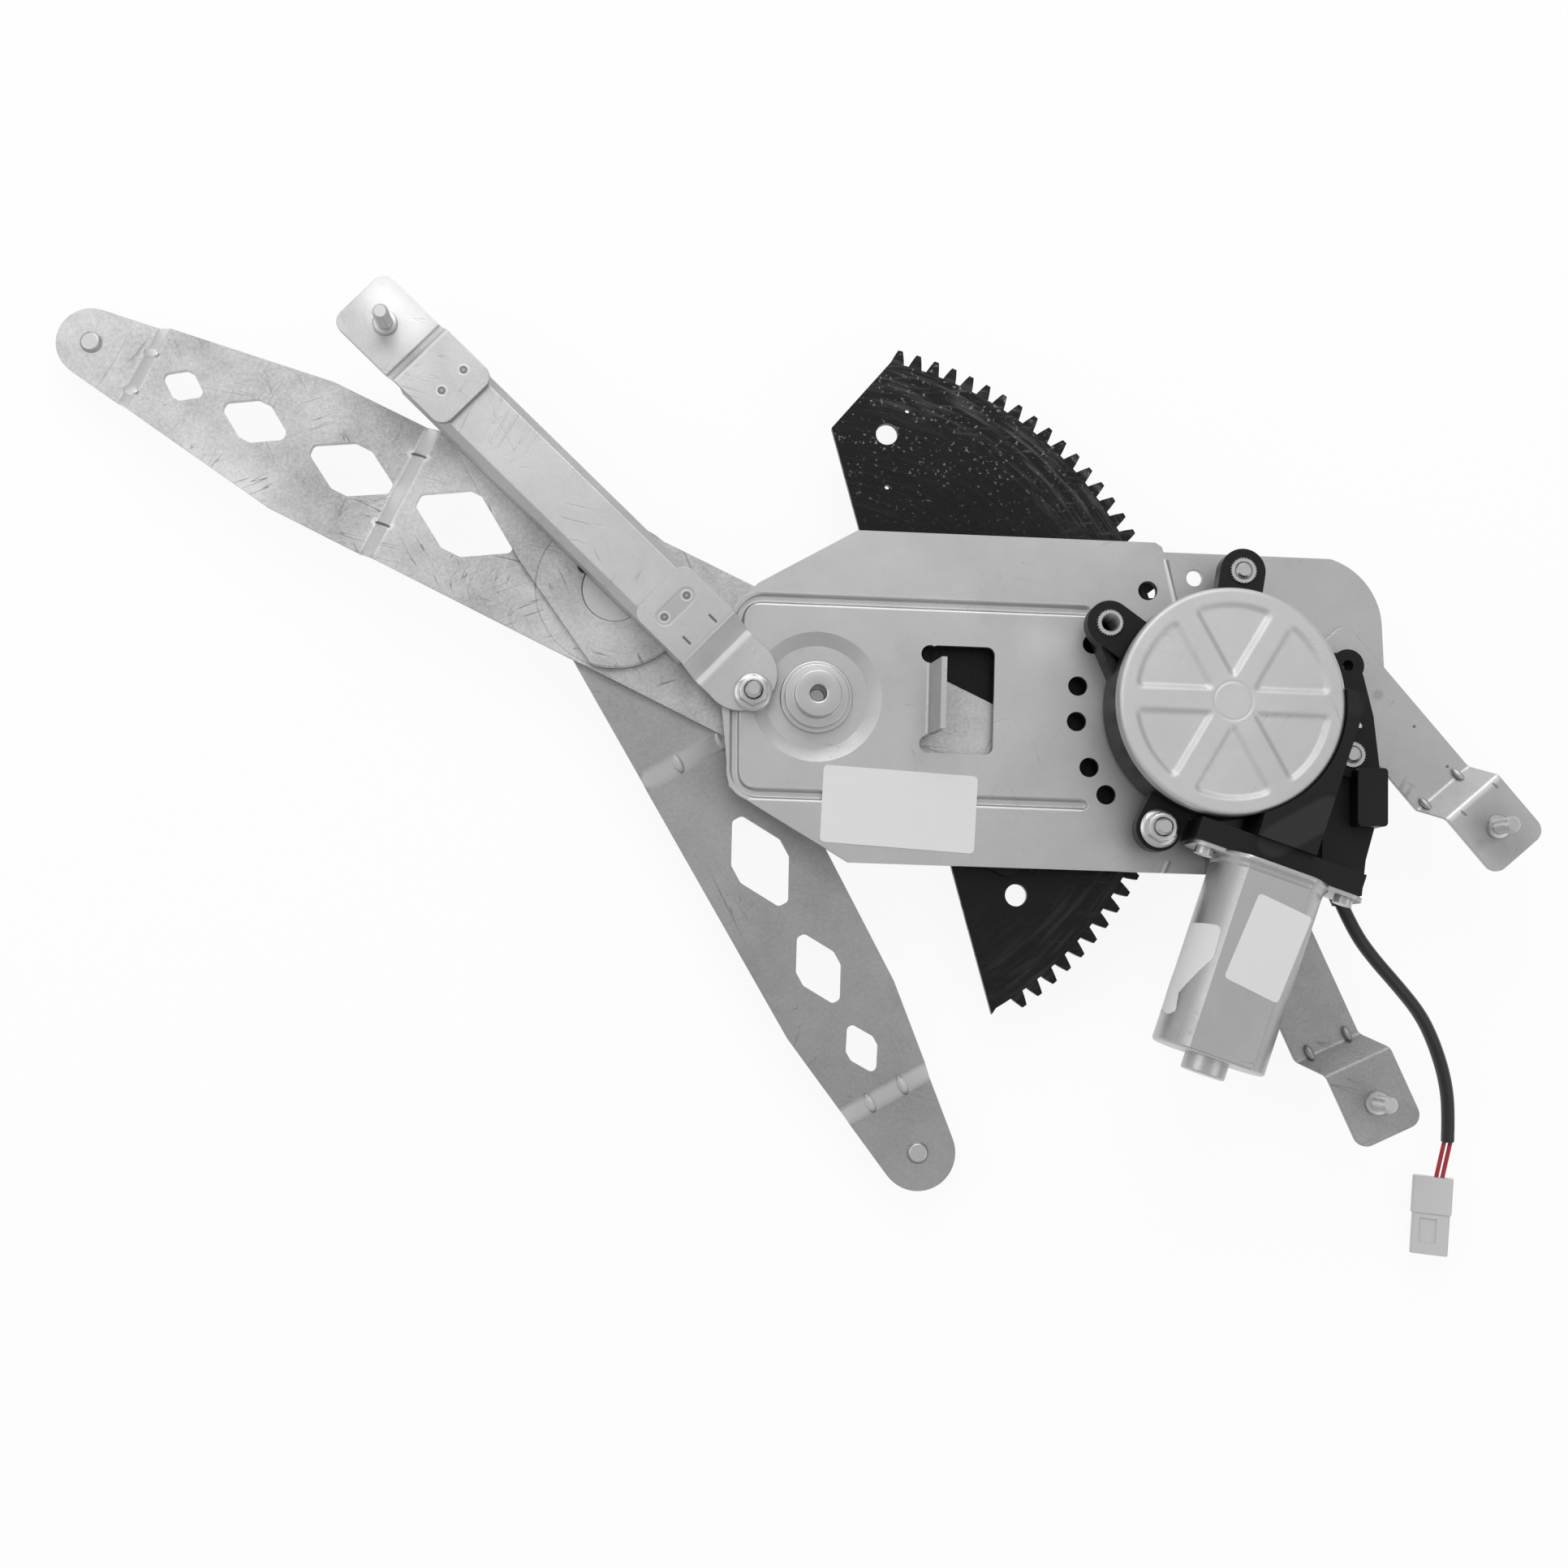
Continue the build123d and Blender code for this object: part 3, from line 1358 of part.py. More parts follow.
with BuildPart() as brush_holder:
    with BuildSketch(along_can(brush_holder_along[0])):
        Circle(brush_holder_radius)
        Circle(commutator_radius + brush_gap, mode=Mode.SUBTRACT)
        Rectangle(2 * (commutator_radius + brush_gap + brush_length), brush_width, mode=Mode.SUBTRACT)
    extrude(amount=brush_holder_along[1] - brush_holder_along[0])
finish(brush_holder.part, "brush_holder")
brushes = []
for across in (1, -1):
    with BuildPart() as brush:
        with BuildSketch(along_can(brush_holder_along[0])):
            with Locations((across * (commutator_radius + brush_gap + brush_length / 2), 0)):
                Rectangle(brush_length, brush_width)
        extrude(amount=brush_holder_along[1] - brush_holder_along[0])
    brushes.append(brush.part.solid())
finish(Compound(brushes), "brushes")

# Lead: gland in the housing's lug, sheath on a gentle path, two wires and the plug
with BuildPart() as gland:
    with BuildSketch(gland_plane):
        Circle(gland_radius)
    extrude(amount=-gland_length)
finish(gland.part, "lead_gland")

runs = [Vector(*b) - Vector(*a) for a, b in zip(lead_points, lead_points[1:])]
lead_bends = []
for before, after in zip(runs, runs[1:]):
    half_turn = radians(before.get_angle(after)) / 2
    lead_bends.append(lead_tightness * min(before.length, after.length) / tan(half_turn))
with BuildPart() as sheath:
    with BuildLine() as route:
        FilletPolyline(*lead_points, radius=lead_bends)
    with BuildSketch(gland_plane):
        Circle(lead_radius)
    sweep(path=route.line)
finish(sheath.part, "lead_sheath")
lead_length = sum(edge.length for edge in route.edges())
print("lead bend radii", [round(bend, 1) for bend in lead_bends], "length", round(lead_length, 1))

lead_end = Vector(*lead_points[-1])
across_plug = direction(plug_angle + 90) * cos(radians(plug_roll)) + Vector(0, 0, sin(radians(plug_roll)))
last_run = runs[-1].normalized()
wire_plane = Plane(origin=lead_end, x_dir=across_plug - last_run * across_plug.dot(last_run), z_dir=last_run)
plug_face = Plane(origin=plug_top, x_dir=across_plug, z_dir=direction(plug_angle))
wires = []
for side_step in (-wire_spacing / 2, wire_spacing / 2):
    start = wire_plane.from_local_coords(Vector(side_step, 0, 0))
    finish_at = plug_face.from_local_coords(Vector(wire_entry + side_step, 0, 0))
    with BuildPart() as wire:
        for here, out in ((wire_plane, start), (plug_face, finish_at)):
            with BuildSketch(Plane(origin=out, x_dir=here.x_dir, z_dir=here.z_dir)):
                Circle(wire_radius)
        loft()
    wires.append(wire.part.solid())
finish(Compound(wires), "lead_wires")

with BuildPart() as plug:
    with BuildSketch(plug_face):
        RectangleRounded(plug_width, plug_thickness, plug_corner)
    extrude(amount=plug_step)
    with BuildSketch(plug_face.offset(plug_step)):
        RectangleRounded(plug_width - plug_step_inset, plug_thickness - plug_step_inset, plug_corner)
    extrude(amount=plug_length - plug_step)
    with BuildSketch(plug_face.offset(plug_length)):
        margin = plug_step_inset + 2 * plug_wall
        RectangleRounded(plug_width - margin, plug_thickness - margin, plug_corner / 2)
    extrude(amount=-plug_cavity_depth, mode=Mode.SUBTRACT)
    latch_face = Plane(origin=plug_top, x_dir=direction(plug_angle), z_dir=plug_face.y_dir)
    with BuildSketch(latch_face.offset(plug_thickness / 2)):
        with Locations((plug_latch_along, plug_latch_across)):
            Rectangle(plug_latch_length, plug_latch_width)
    extrude(amount=-plug_latch_depth, mode=Mode.SUBTRACT)
finish(plug.part, "plug_housing")
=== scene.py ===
# %% [markdown]
# # A double-arm window regulator
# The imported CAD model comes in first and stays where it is. Every piece made below is in metres in the same
# frame: the origin is on the main pivot, +Z points along the pivots to the viewer, +X to the gear motor.

# %% Open the frame
import json
import math

import bmesh
import bpy
import numpy as np
from mathutils import Matrix, Vector


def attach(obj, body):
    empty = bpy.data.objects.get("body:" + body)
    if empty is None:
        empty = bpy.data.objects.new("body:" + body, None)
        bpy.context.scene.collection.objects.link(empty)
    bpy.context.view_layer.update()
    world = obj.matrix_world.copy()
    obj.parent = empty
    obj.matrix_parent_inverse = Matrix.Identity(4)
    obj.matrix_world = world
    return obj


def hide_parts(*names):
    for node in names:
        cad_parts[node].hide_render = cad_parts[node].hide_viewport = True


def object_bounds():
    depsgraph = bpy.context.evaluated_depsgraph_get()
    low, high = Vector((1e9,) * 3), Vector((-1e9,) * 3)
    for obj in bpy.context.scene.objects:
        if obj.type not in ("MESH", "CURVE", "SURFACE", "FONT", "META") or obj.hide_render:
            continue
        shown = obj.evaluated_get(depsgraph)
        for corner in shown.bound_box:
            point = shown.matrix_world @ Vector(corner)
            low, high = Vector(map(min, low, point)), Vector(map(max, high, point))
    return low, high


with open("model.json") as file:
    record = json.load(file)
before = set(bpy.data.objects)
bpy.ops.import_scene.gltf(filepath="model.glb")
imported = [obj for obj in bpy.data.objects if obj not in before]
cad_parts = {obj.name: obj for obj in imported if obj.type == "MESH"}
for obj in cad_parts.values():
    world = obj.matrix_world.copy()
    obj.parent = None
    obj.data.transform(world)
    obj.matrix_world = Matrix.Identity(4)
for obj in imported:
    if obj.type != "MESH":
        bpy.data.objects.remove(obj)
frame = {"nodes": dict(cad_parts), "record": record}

cad_box = [list(map(float, corner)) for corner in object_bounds()]
mm = 0.001
print("nodes", len(frame["nodes"]), "box", np.round(cad_box, 4).tolist())

# %% [markdown]
# ## The camera
# A photographed plate gives its camera away: all lines square to it meet in one point of the picture. With
# that point, the focal length and the place of one known point, the camera stands where the photographer's
# did. It could be set by eye, but then no edge of the picture could be measured. The rows of `turn` are the
# camera's own axes written in the object's.

# %% Camera from the plate's vanishing point
picture = 1932.0
focal_px = 2500.0
square_to_plate = np.array([830.0, 1200.0])
tilt_in_picture = math.radians(1.75)
pivot_in_picture = np.array([1004.5, 861.7])
pivot_distance = 0.750
pivot_point = np.array([0, 0, -7.6 * mm])

towards = np.append((square_to_plate - picture / 2) * (1, -1), -focal_px)
z_seen = -towards / np.linalg.norm(towards)
x_seen = np.array([math.cos(tilt_in_picture), -math.sin(tilt_in_picture), 0.0])
x_seen -= z_seen * x_seen.dot(z_seen)
x_seen /= np.linalg.norm(x_seen)
turn = np.stack([x_seen, np.cross(z_seen, x_seen), z_seen], 1)
ray = np.append((pivot_in_picture - picture / 2) * (1, -1) / focal_px, -1.0) * pivot_distance
place = turn.T @ (turn @ pivot_point - ray)

camera = bpy.data.objects.new("camera", bpy.data.cameras.new("camera"))
camera.data.sensor_width = 36.0
camera.data.lens = 36.0 * focal_px / picture
camera.data.clip_start = 0.01
matrix = Matrix(turn.T.tolist()).to_4x4()
matrix.translation = Vector(place.tolist())
camera.matrix_world = matrix
bpy.context.scene.collection.objects.link(camera)
bpy.context.scene.camera = camera
bpy.context.scene.view_settings.view_transform = "Standard"
print("camera stands at", np.round(place, 4).tolist())

# %% [markdown]
# ## Small helpers for node trees
# A material is a net of nodes. `Net` adds a node, fills its sockets with values or with links from other
# nodes, and gives the node back, so a whole material reads from top to bottom.

# %% A net of nodes
class Net:
    """Adds nodes to one tree."""

    def __init__(self, tree):
        self.tree = tree

    def add(self, kind, inputs=None, **settings):
        """A node with its settings, then its inputs, each a value or another node's output."""
        node = self.tree.nodes.new(kind)
        for name, value in settings.items():
            setattr(node, name, value)
        for name, value in (inputs or {}).items():
            if isinstance(value, bpy.types.NodeSocket):
                self.tree.links.new(value, node.inputs[name])
            else:
                node.inputs[name].default_value = value
        return node

    def maths(self, operation, first, second=0.0, clamp=False):
        """A sum, product or other operation on two numbers."""
        node = self.add("ShaderNodeMath", {0: first, 1: second}, operation=operation, use_clamp=clamp)
        return node.outputs[0]

    def vector(self, operation, first, second=(0, 0, 0)):
        """An operation on two vectors, which gives a vector or a number."""
        node = self.add("ShaderNodeVectorMath", {0: first, 1: second}, operation=operation)
        return node.outputs["Value" if operation in ("DOT_PRODUCT", "LENGTH", "DISTANCE") else "Vector"]

    def mix(self, factor, first, second):
        """A colour between two colours."""
        return self.add("ShaderNodeMix", {0: factor, 6: first, 7: second}, data_type="RGBA").outputs[2]

    def span(self, value, low, high, to_low=0.0, to_high=1.0):
        """Maps a value from one range to another, held at its ends."""
        settings = {"Value": value, "From Min": low, "From Max": high, "To Min": to_low, "To Max": to_high}
        return self.add("ShaderNodeMapRange", settings, interpolation_type="SMOOTHSTEP").outputs[0]


def new_group(name, inputs, outputs):
    """A shader node group with named sockets, and the net inside it."""
    group = bpy.data.node_groups.new(name, "ShaderNodeTree")
    for label, kind, value in inputs:
        group.interface.new_socket(label, in_out="INPUT", socket_type=kind).default_value = value
    for label, kind in outputs:
        group.interface.new_socket(label, in_out="OUTPUT", socket_type=kind)
    net = Net(group)
    return group, net, net.add("NodeGroupInput").outputs, net.add("NodeGroupOutput").inputs


def grey(value):
    """An even grey as a colour."""
    return (value, value, value, 1.0)


# %% [markdown]
# ## Floor, air and lamps
# The object lies on a pale sheet. The sheet shows itself to the camera nearly white but keeps a part of its
# shading, so the shadow stays. Seen from underneath it is clear, so that the object's back can be looked
# at. The air is brighter overhead than at the sides: flat steel seen from above mirrors what is overhead,
# and bent steel picks up the darker sides, which draws its bends. More lamps could do that too, but each
# would leave a spot of its own on the steel.

# %% Floor
floor_half = 4.0
floor_gap = 0.2 * mm
white_share = 0.9
floor_mesh = bpy.data.meshes.new("floor")
corners = np.array([(-1, -1, 0), (1, -1, 0), (1, 1, 0), (-1, 1, 0)]) * floor_half
corners[:, 2] = cad_box[0][2] - floor_gap
floor_mesh.from_pydata(corners.tolist(), [], [(0, 1, 2, 3)])
floor = bpy.data.objects.new("floor", floor_mesh)
bpy.context.scene.collection.objects.link(floor)


def seen_directly(net):
    """Two masks: one for camera, mirror and glass rays, and one for camera rays alone. Both are nought for
    the rays that light the object."""
    path = net.add("ShaderNodeLightPath").outputs
    both = net.maths("ADD", path["Is Camera Ray"], path["Is Glossy Ray"])
    return net.maths("ADD", both, path["Is Transmission Ray"], clamp=True), path["Is Camera Ray"]


paper = bpy.data.materials.new("pale_floor")
paper.use_nodes = True
net = Net(paper.node_tree)
net.tree.nodes.clear()
floor_place = net.add("ShaderNodeTexCoord").outputs["Object"]
fibres = net.add("ShaderNodeTexNoise", {"Vector": floor_place, "Scale": 9.0, "Detail": 2.0})
matt = net.add("ShaderNodeBsdfDiffuse", {"Color": net.mix(fibres.outputs[0], grey(0.9), grey(0.93))})
bright = net.add("ShaderNodeEmission", {"Color": grey(1.0), "Strength": 1.0})
share = net.maths("MULTIPLY", seen_directly(net)[0], white_share)
both = net.add("ShaderNodeMixShader", {0: share, 1: matt.outputs[0], 2: bright.outputs[0]})
behind = net.add("ShaderNodeNewGeometry").outputs["Backfacing"]
clear = net.add("ShaderNodeBsdfTransparent")
one_way = net.add("ShaderNodeMixShader", {0: behind, 1: both.outputs[0], 2: clear.outputs[0]})
net.add("ShaderNodeOutputMaterial", {"Surface": one_way.outputs[0]})
floor_mesh.materials.append(paper)
print("floor", 2 * floor_half, "m wide at", round(float(corners[0, 2]), 4))

# %% Air
brightest_way = (-0.20, 0.38, 0.90)
side_glow, top_glow = 0.52, 0.66
world = bpy.data.worlds.new("studio")
bpy.context.scene.world = world
world.use_nodes = True
net = Net(world.node_tree)
net.tree.nodes.clear()
sky = net.add("ShaderNodeTexCoord").outputs["Generated"]
height = net.vector("DOT_PRODUCT", sky, brightest_way)
glow = net.span(height, 0.0, 1.0, side_glow, top_glow)
camera_ray = seen_directly(net)[1]
strength = net.add("ShaderNodeMix", {0: camera_ray, 2: glow, 3: 1.0}, data_type="FLOAT").outputs[0]
air = net.add("ShaderNodeBackground", {"Color": grey(1.0), "Strength": strength})
net.add("ShaderNodeOutputWorld", {"Surface": air.outputs[0]})
print("air", side_glow, "to", top_glow)


# %% Lamps
def softbox(name, place, aim, size, power):
    """A square lamp that looks from its place to a point."""
    lamp = bpy.data.lights.new(name, "AREA")
    lamp.size = size
    lamp.energy = power
    holder = bpy.data.objects.new(name, lamp)
    holder.location = place
    holder.rotation_euler = (Vector(aim) - Vector(place)).to_track_quat("-Z", "Y").to_euler()
    bpy.context.scene.collection.objects.link(holder)
    print("lamp", name, power, "W")


softbox("key_from_the_top", (-0.05, 1.0, 0.95), (0.0, 0.0, 0.0), 1.0, 7.0)
softbox("fill_from_the_left", (-0.95, 0.10, 0.90), (0.0, 0.0, 0.0), 0.8, 2.5)
softbox("fill_from_the_right", (0.95, -0.45, 0.9), (0.1, 0.0, 0.0), 0.8, 1.5)

# %% [markdown]
# ## Shared surface effects
# Zinc on rolled sheet is never even: it has a fine mottle, cloudy handling marks and thin scratches that
# run all ways. A photographed texture would repeat and has no relief, so the group below works out all
# three from a position and gives one tone and one height back. Each material sets its own strengths, so a
# plate, an arm and a drawn can look related but not alike.

# %% Worn sheet
worn_sheet, net, given, result = new_group(
    "worn_sheet",
    [
        ("Vector", "NodeSocketVector", (0, 0, 0)),
        ("Mottle", "NodeSocketFloat", 0.3),
        ("Clouds", "NodeSocketFloat", 0.3),
        ("Scratches", "NodeSocketFloat", 0.3),
        ("Grain Scale", "NodeSocketFloat", 900.0),
    ],
    [("Tone", "NodeSocketFloat"), ("Height", "NodeSocketFloat")],
)


def centred_noise(net, vector, scale, detail, rough=0.6):
    """Noise from about minus one to one."""
    values = {"Vector": vector, "Scale": scale, "Detail": detail, "Roughness": rough}
    noise = net.add("ShaderNodeTexNoise", values)
    return net.maths("MULTIPLY", net.maths("SUBTRACT", noise.outputs[0], 0.5), 2.0)


def scratch_lines(net, vector, turn_by, scale, thin=0.02):
    """Thin lines along one direction: noise that is stretched until its ridges become threads."""
    turn = (0, 0, math.radians(turn_by))
    aligned = net.add("ShaderNodeMapping", {"Vector": vector, "Rotation": turn}).outputs[0]
    stretched = net.add("ShaderNodeMapping", {"Vector": aligned, "Scale": (0.05, 1.0, 1.0)}).outputs[0]
    ridge = net.maths("ABSOLUTE", centred_noise(net, stretched, scale, 1.0))
    line = net.span(ridge, 0.0, thin, 1.0, 0.0)
    patchy = net.span(centred_noise(net, vector, 28.0 + turn_by / 10, 1.0), 0.12, 0.45)
    return net.maths("MULTIPLY", line, patchy)


mottle = net.add(
    "ShaderNodeTexNoise",
    {"Vector": given["Vector"], "Scale": given["Grain Scale"], "Detail": 3.0, "Roughness": 0.7},
).outputs[0]
mottle = net.maths("MULTIPLY", net.maths("SUBTRACT", mottle, 0.5), 2.0)
clouds = centred_noise(net, given["Vector"], 22.0, 5.0, 0.65)
lines = None
for turn_by, scale in ((12, 240), (63, 300), (118, 260), (157, 340)):
    scratch = scratch_lines(net, given["Vector"], turn_by, scale)
    lines = scratch if lines is None else net.maths("MAXIMUM", lines, scratch)
tone = net.maths("MULTIPLY", mottle, given["Mottle"])
tone = net.maths("ADD", tone, net.maths("MULTIPLY", clouds, given["Clouds"]))
tone = net.maths("SUBTRACT", tone, net.maths("MULTIPLY", lines, given["Scratches"]))
net.tree.links.new(net.maths("ADD", tone, 0.5, clamp=True), result["Tone"])
net.tree.links.new(net.maths("SUBTRACT", net.maths("MULTIPLY", mottle, 0.3), lines), result["Height"])
print("group", worn_sheet.name, len(worn_sheet.nodes), "nodes")

# %% [markdown]
# A pressed or welded mark is a capsule: all points within a radius of a short line. Modelling it would cost
# many faces for a dent no deeper than paint. So the group measures the distance to that line in the plate's
# plane and turns it into a soft mask, which a material then uses as colour or height.

# %% Capsule mark
capsule_mark, net, given, result = new_group(
    "capsule_mark",
    [
        ("Vector", "NodeSocketVector", (0, 0, 0)),
        ("Centre", "NodeSocketVector", (0, 0, 0)),
        ("Along", "NodeSocketVector", (1, 0, 0)),
        ("Half Length", "NodeSocketFloat", 0.004),
        ("Radius", "NodeSocketFloat", 0.002),
        ("Softness", "NodeSocketFloat", 0.0006),
    ],
    [("Mask", "NodeSocketFloat")],
)
away = net.vector("MULTIPLY", net.vector("SUBTRACT", given["Vector"], given["Centre"]), (1, 1, 0))
along = net.vector("DOT_PRODUCT", away, given["Along"])
end = given["Half Length"]
along = net.maths("MAXIMUM", net.maths("MINIMUM", along, end), net.maths("MULTIPLY", end, -1.0))
scaled = net.add("ShaderNodeVectorMath", {0: given["Along"], "Scale": along}, operation="SCALE").outputs[0]
distance = net.vector("LENGTH", net.vector("SUBTRACT", away, scaled))
outer = net.maths("ADD", given["Radius"], given["Softness"])
inner = net.maths("SUBTRACT", given["Radius"], given["Softness"])
mask = net.add(
    "ShaderNodeMapRange",
    {"Value": distance, "From Min": inner, "From Max": outer, "To Min": 1.0, "To Max": 0.0},
    interpolation_type="SMOOTHSTEP",
).outputs[0]
net.tree.links.new(mask, result["Mask"])
print("group", capsule_mark.name, len(capsule_mark.nodes), "nodes")


def mark(net, vector, centre, degrees, half_length, radius, softness):
    """The mask of one capsule mark, given in millimetres and degrees."""
    turn = math.radians(degrees)
    values = {
        "Vector": vector,
        "Centre": (centre[0] * mm, centre[1] * mm, 0),
        "Along": (math.cos(turn), math.sin(turn), 0),
        "Half Length": half_length * mm,
        "Radius": radius * mm,
        "Softness": softness * mm,
    }
    return net.add("ShaderNodeGroup", values, node_tree=capsule_mark).outputs["Mask"]


def worn(net, vector, mottle, clouds, scratches, grain):
    """Tone and height of worn sheet at a position."""
    values = {"Vector": vector, "Mottle": mottle, "Clouds": clouds, "Scratches": scratches}
    node = net.add("ShaderNodeGroup", {**values, "Grain Scale": grain}, node_tree=worn_sheet)
    return node.outputs["Tone"], node.outputs["Height"]


def marks(rows, rings=()):
    """An extra for a material: capsules and rings that pull its tone to a value and raise or sink it. A
    capsule row has centre, degrees, half length, radius, softness, tone, strength and rise. A ring row has
    centre, radius, width, tone, strength and rise. Plan sizes are in millimetres."""
    def draw(net, position, colour, roughness, height):
        masks = [(mark(net, position, *row[:5]), *row[5:]) for row in rows]
        for centre, radius, width, *rest in rings:
            middle = net.vector("SUBTRACT", position, (centre[0] * mm, centre[1] * mm, 0))
            away = net.vector("LENGTH", net.vector("MULTIPLY", middle, (1, 1, 0)))
            off_line = net.maths("ABSOLUTE", net.maths("SUBTRACT", away, radius * mm))
            masks.append((net.span(off_line, 0.0, width * mm, 1.0, 0.0), *rest))
        for mask, tone, strength, rise in masks:
            colour = net.mix(net.maths("MULTIPLY", mask, strength), colour, grey(tone))
            height = net.maths("ADD", height, net.maths("MULTIPLY", mask, rise))
        return colour, roughness, height
    return draw


# %% [markdown]
# ## Materials
# Every finish here is a principled shader whose colour, roughness and bump come from the worn-sheet group,
# and an extra function may add marks of its own. `metal` makes the bare metals and `shades` the plastics,
# the rubber and the paper. A material could be built by hand for each part, but then no two would wear
# alike.

# %% Finishes
materials = {}
bump_depth = 0.3 * mm


def finish(name, dark, light, rough, wear, bump, extra, socket, level):
    """One finish: dark and light colour, roughness at the light and at the dark end, and strengths of wear.
    The named socket of the shader gets a constant level."""
    material = bpy.data.materials.new(name)
    material.use_nodes = True
    net = Net(material.node_tree)
    shader = net.tree.nodes["Principled BSDF"]
    position = net.add("ShaderNodeTexCoord").outputs["Object"]
    tone, height = worn(net, position, *wear)
    colour = net.mix(tone, dark, light)
    roughness = net.span(tone, 0.0, 1.0, rough[1], rough[0])
    if extra:
        colour, roughness, height = extra(net, position, colour, roughness, height)
    net.tree.links.new(colour, shader.inputs["Base Color"])
    net.tree.links.new(roughness, shader.inputs["Roughness"])
    shader.inputs[socket].default_value = level
    relief = net.add("ShaderNodeBump", {"Height": height, "Strength": bump, "Distance": bump_depth})
    net.tree.links.new(relief.outputs[0], shader.inputs["Normal"])
    materials[name] = material


def metal(name, dark, light, rough, mottle, clouds, scratches, grain, bump, extra):
    """A bare metal between a dark and a light colour, each given as a colour or as one grey."""
    dark, light = (value if isinstance(value, tuple) else grey(value) for value in (dark, light))
    finish(name, dark, light, rough, (mottle, clouds, scratches, grain), bump, extra, "Metallic", 1.0)


def shades(name, colour, rough, spread, grain, bump, shine=0.5, extra=None):
    """A plastic, rubber or painted finish: one colour that the wear lightens and darkens by the spread."""
    dark = tuple(c * (1 - spread) for c in colour) + (1.0,)
    light = tuple(min(1.0, c * (1 + spread) + 0.01 * spread) for c in colour) + (1.0,)
    finish(name, dark, light, rough, (0.35, 0.45, 0.15, grain), bump, extra, "Specular IOR Level", shine)


print("bump depth", bump_depth, "m")

# %% [markdown]
# The press, the welder and the fitter leave marks on the sheet parts: spot welds with a dark ring, slits
# beside the bends and dark specks. Painted highlights lie across the bends, and painted highlight and shade
# lines draw some edges, steps and slits. Each mark is a row of numbers on the line of its own strip, so that
# a mark is found again by its place on the part.

# %% Marks of press and welder, painted highlights and painted shade
def spot(origin, degrees, along, across=0.0):
    """A plan point along and across a line from an origin, in millimetres."""
    turn = math.radians(degrees)
    return (origin[0] + along * math.cos(turn) - across * math.sin(turn),
            origin[1] + along * math.sin(turn) + across * math.cos(turn))


def painted_bend_light(line, along, across, half_length, radius, strength):
    """A painted highlight on a bend: a broad, soft, light capsule across the strip."""
    return (spot(*line, along, across), line[1] + 90, half_length, radius, 1.2, 0.95, strength, 0.0)


main_pivot = (0, 0)
lift_line = (main_pivot, 155.4)
channel_line = (main_pivot, 137.4)
crossing = (-75.25, 37.43)
long_half_line = (crossing, -59.7)
lift_bends, long_half_bends = (171.5, 278.6), (67.2, 210.3)
lower_bend, upper_bend, channel_middle = 37.5, 190.7, 13.9
plate_marks_and_painted_light = marks([
    # a dark nick by the window, then the painted highlight and painted shade lines along the edges of the
    # pressed groove
    ((50.4, 3.9), 80, 1.2, 0.5, 0.4, 0.12, 0.7, -1.0),
    ((37.5, 33.5), 0, 61, 0.35, 0.3, 0.95, 0.6, 0.0), ((37.5, -38.5), 0, 61, 0.35, 0.3, 0.95, 0.6, 0.0),
    ((37.5, 37.7), 0, 61, 0.3, 0.3, 0.15, 0.3, 0.0), ((37.5, -34.3), 0, 61, 0.3, 0.3, 0.15, 0.3, 0.0),
    # painted shade and painted highlight lines along the edges where the two plates overlap
    ((131.6, 47.7), -77, 8.7, 0.45, 0.3, 0.10, 0.6, 0.0), ((130.2, 47.4), -77, 8.7, 0.6, 0.4, 0.95, 0.6, 0.0),
    ((130.0, -60.0), 68, 4.0, 0.45, 0.3, 0.10, 0.5, 0.0), ((128.8, -60.0), 68, 4.0, 0.5, 0.4, 0.95, 0.5, 0.0),
    # two thin painted shade lines where the leg's outline shows through the motor plate, then three broad
    # soft patches, two darker and one lighter
    ((194.1, 24.8), 21, 4.2, 0.2, 0.25, 0.15, 0.5, 0.0), ((204.0, 18.4), -53, 10, 0.2, 0.25, 0.15, 0.5, 0.0),
    ((38.5, -6.0), 90, 16, 2.0, 3.0, 0.42, 0.35, 0.0),
    ((-20, 8), 60, 14, 4, 6, 0.40, 0.25, 0.0),
    ((100, 26), 10, 18, 6, 9, 0.75, 0.35, 0.0),
])
welds = [(-132.2, 112.3), (-139.7, 104.3), (-48.8, 33.0), (-56.5, 24.8)]
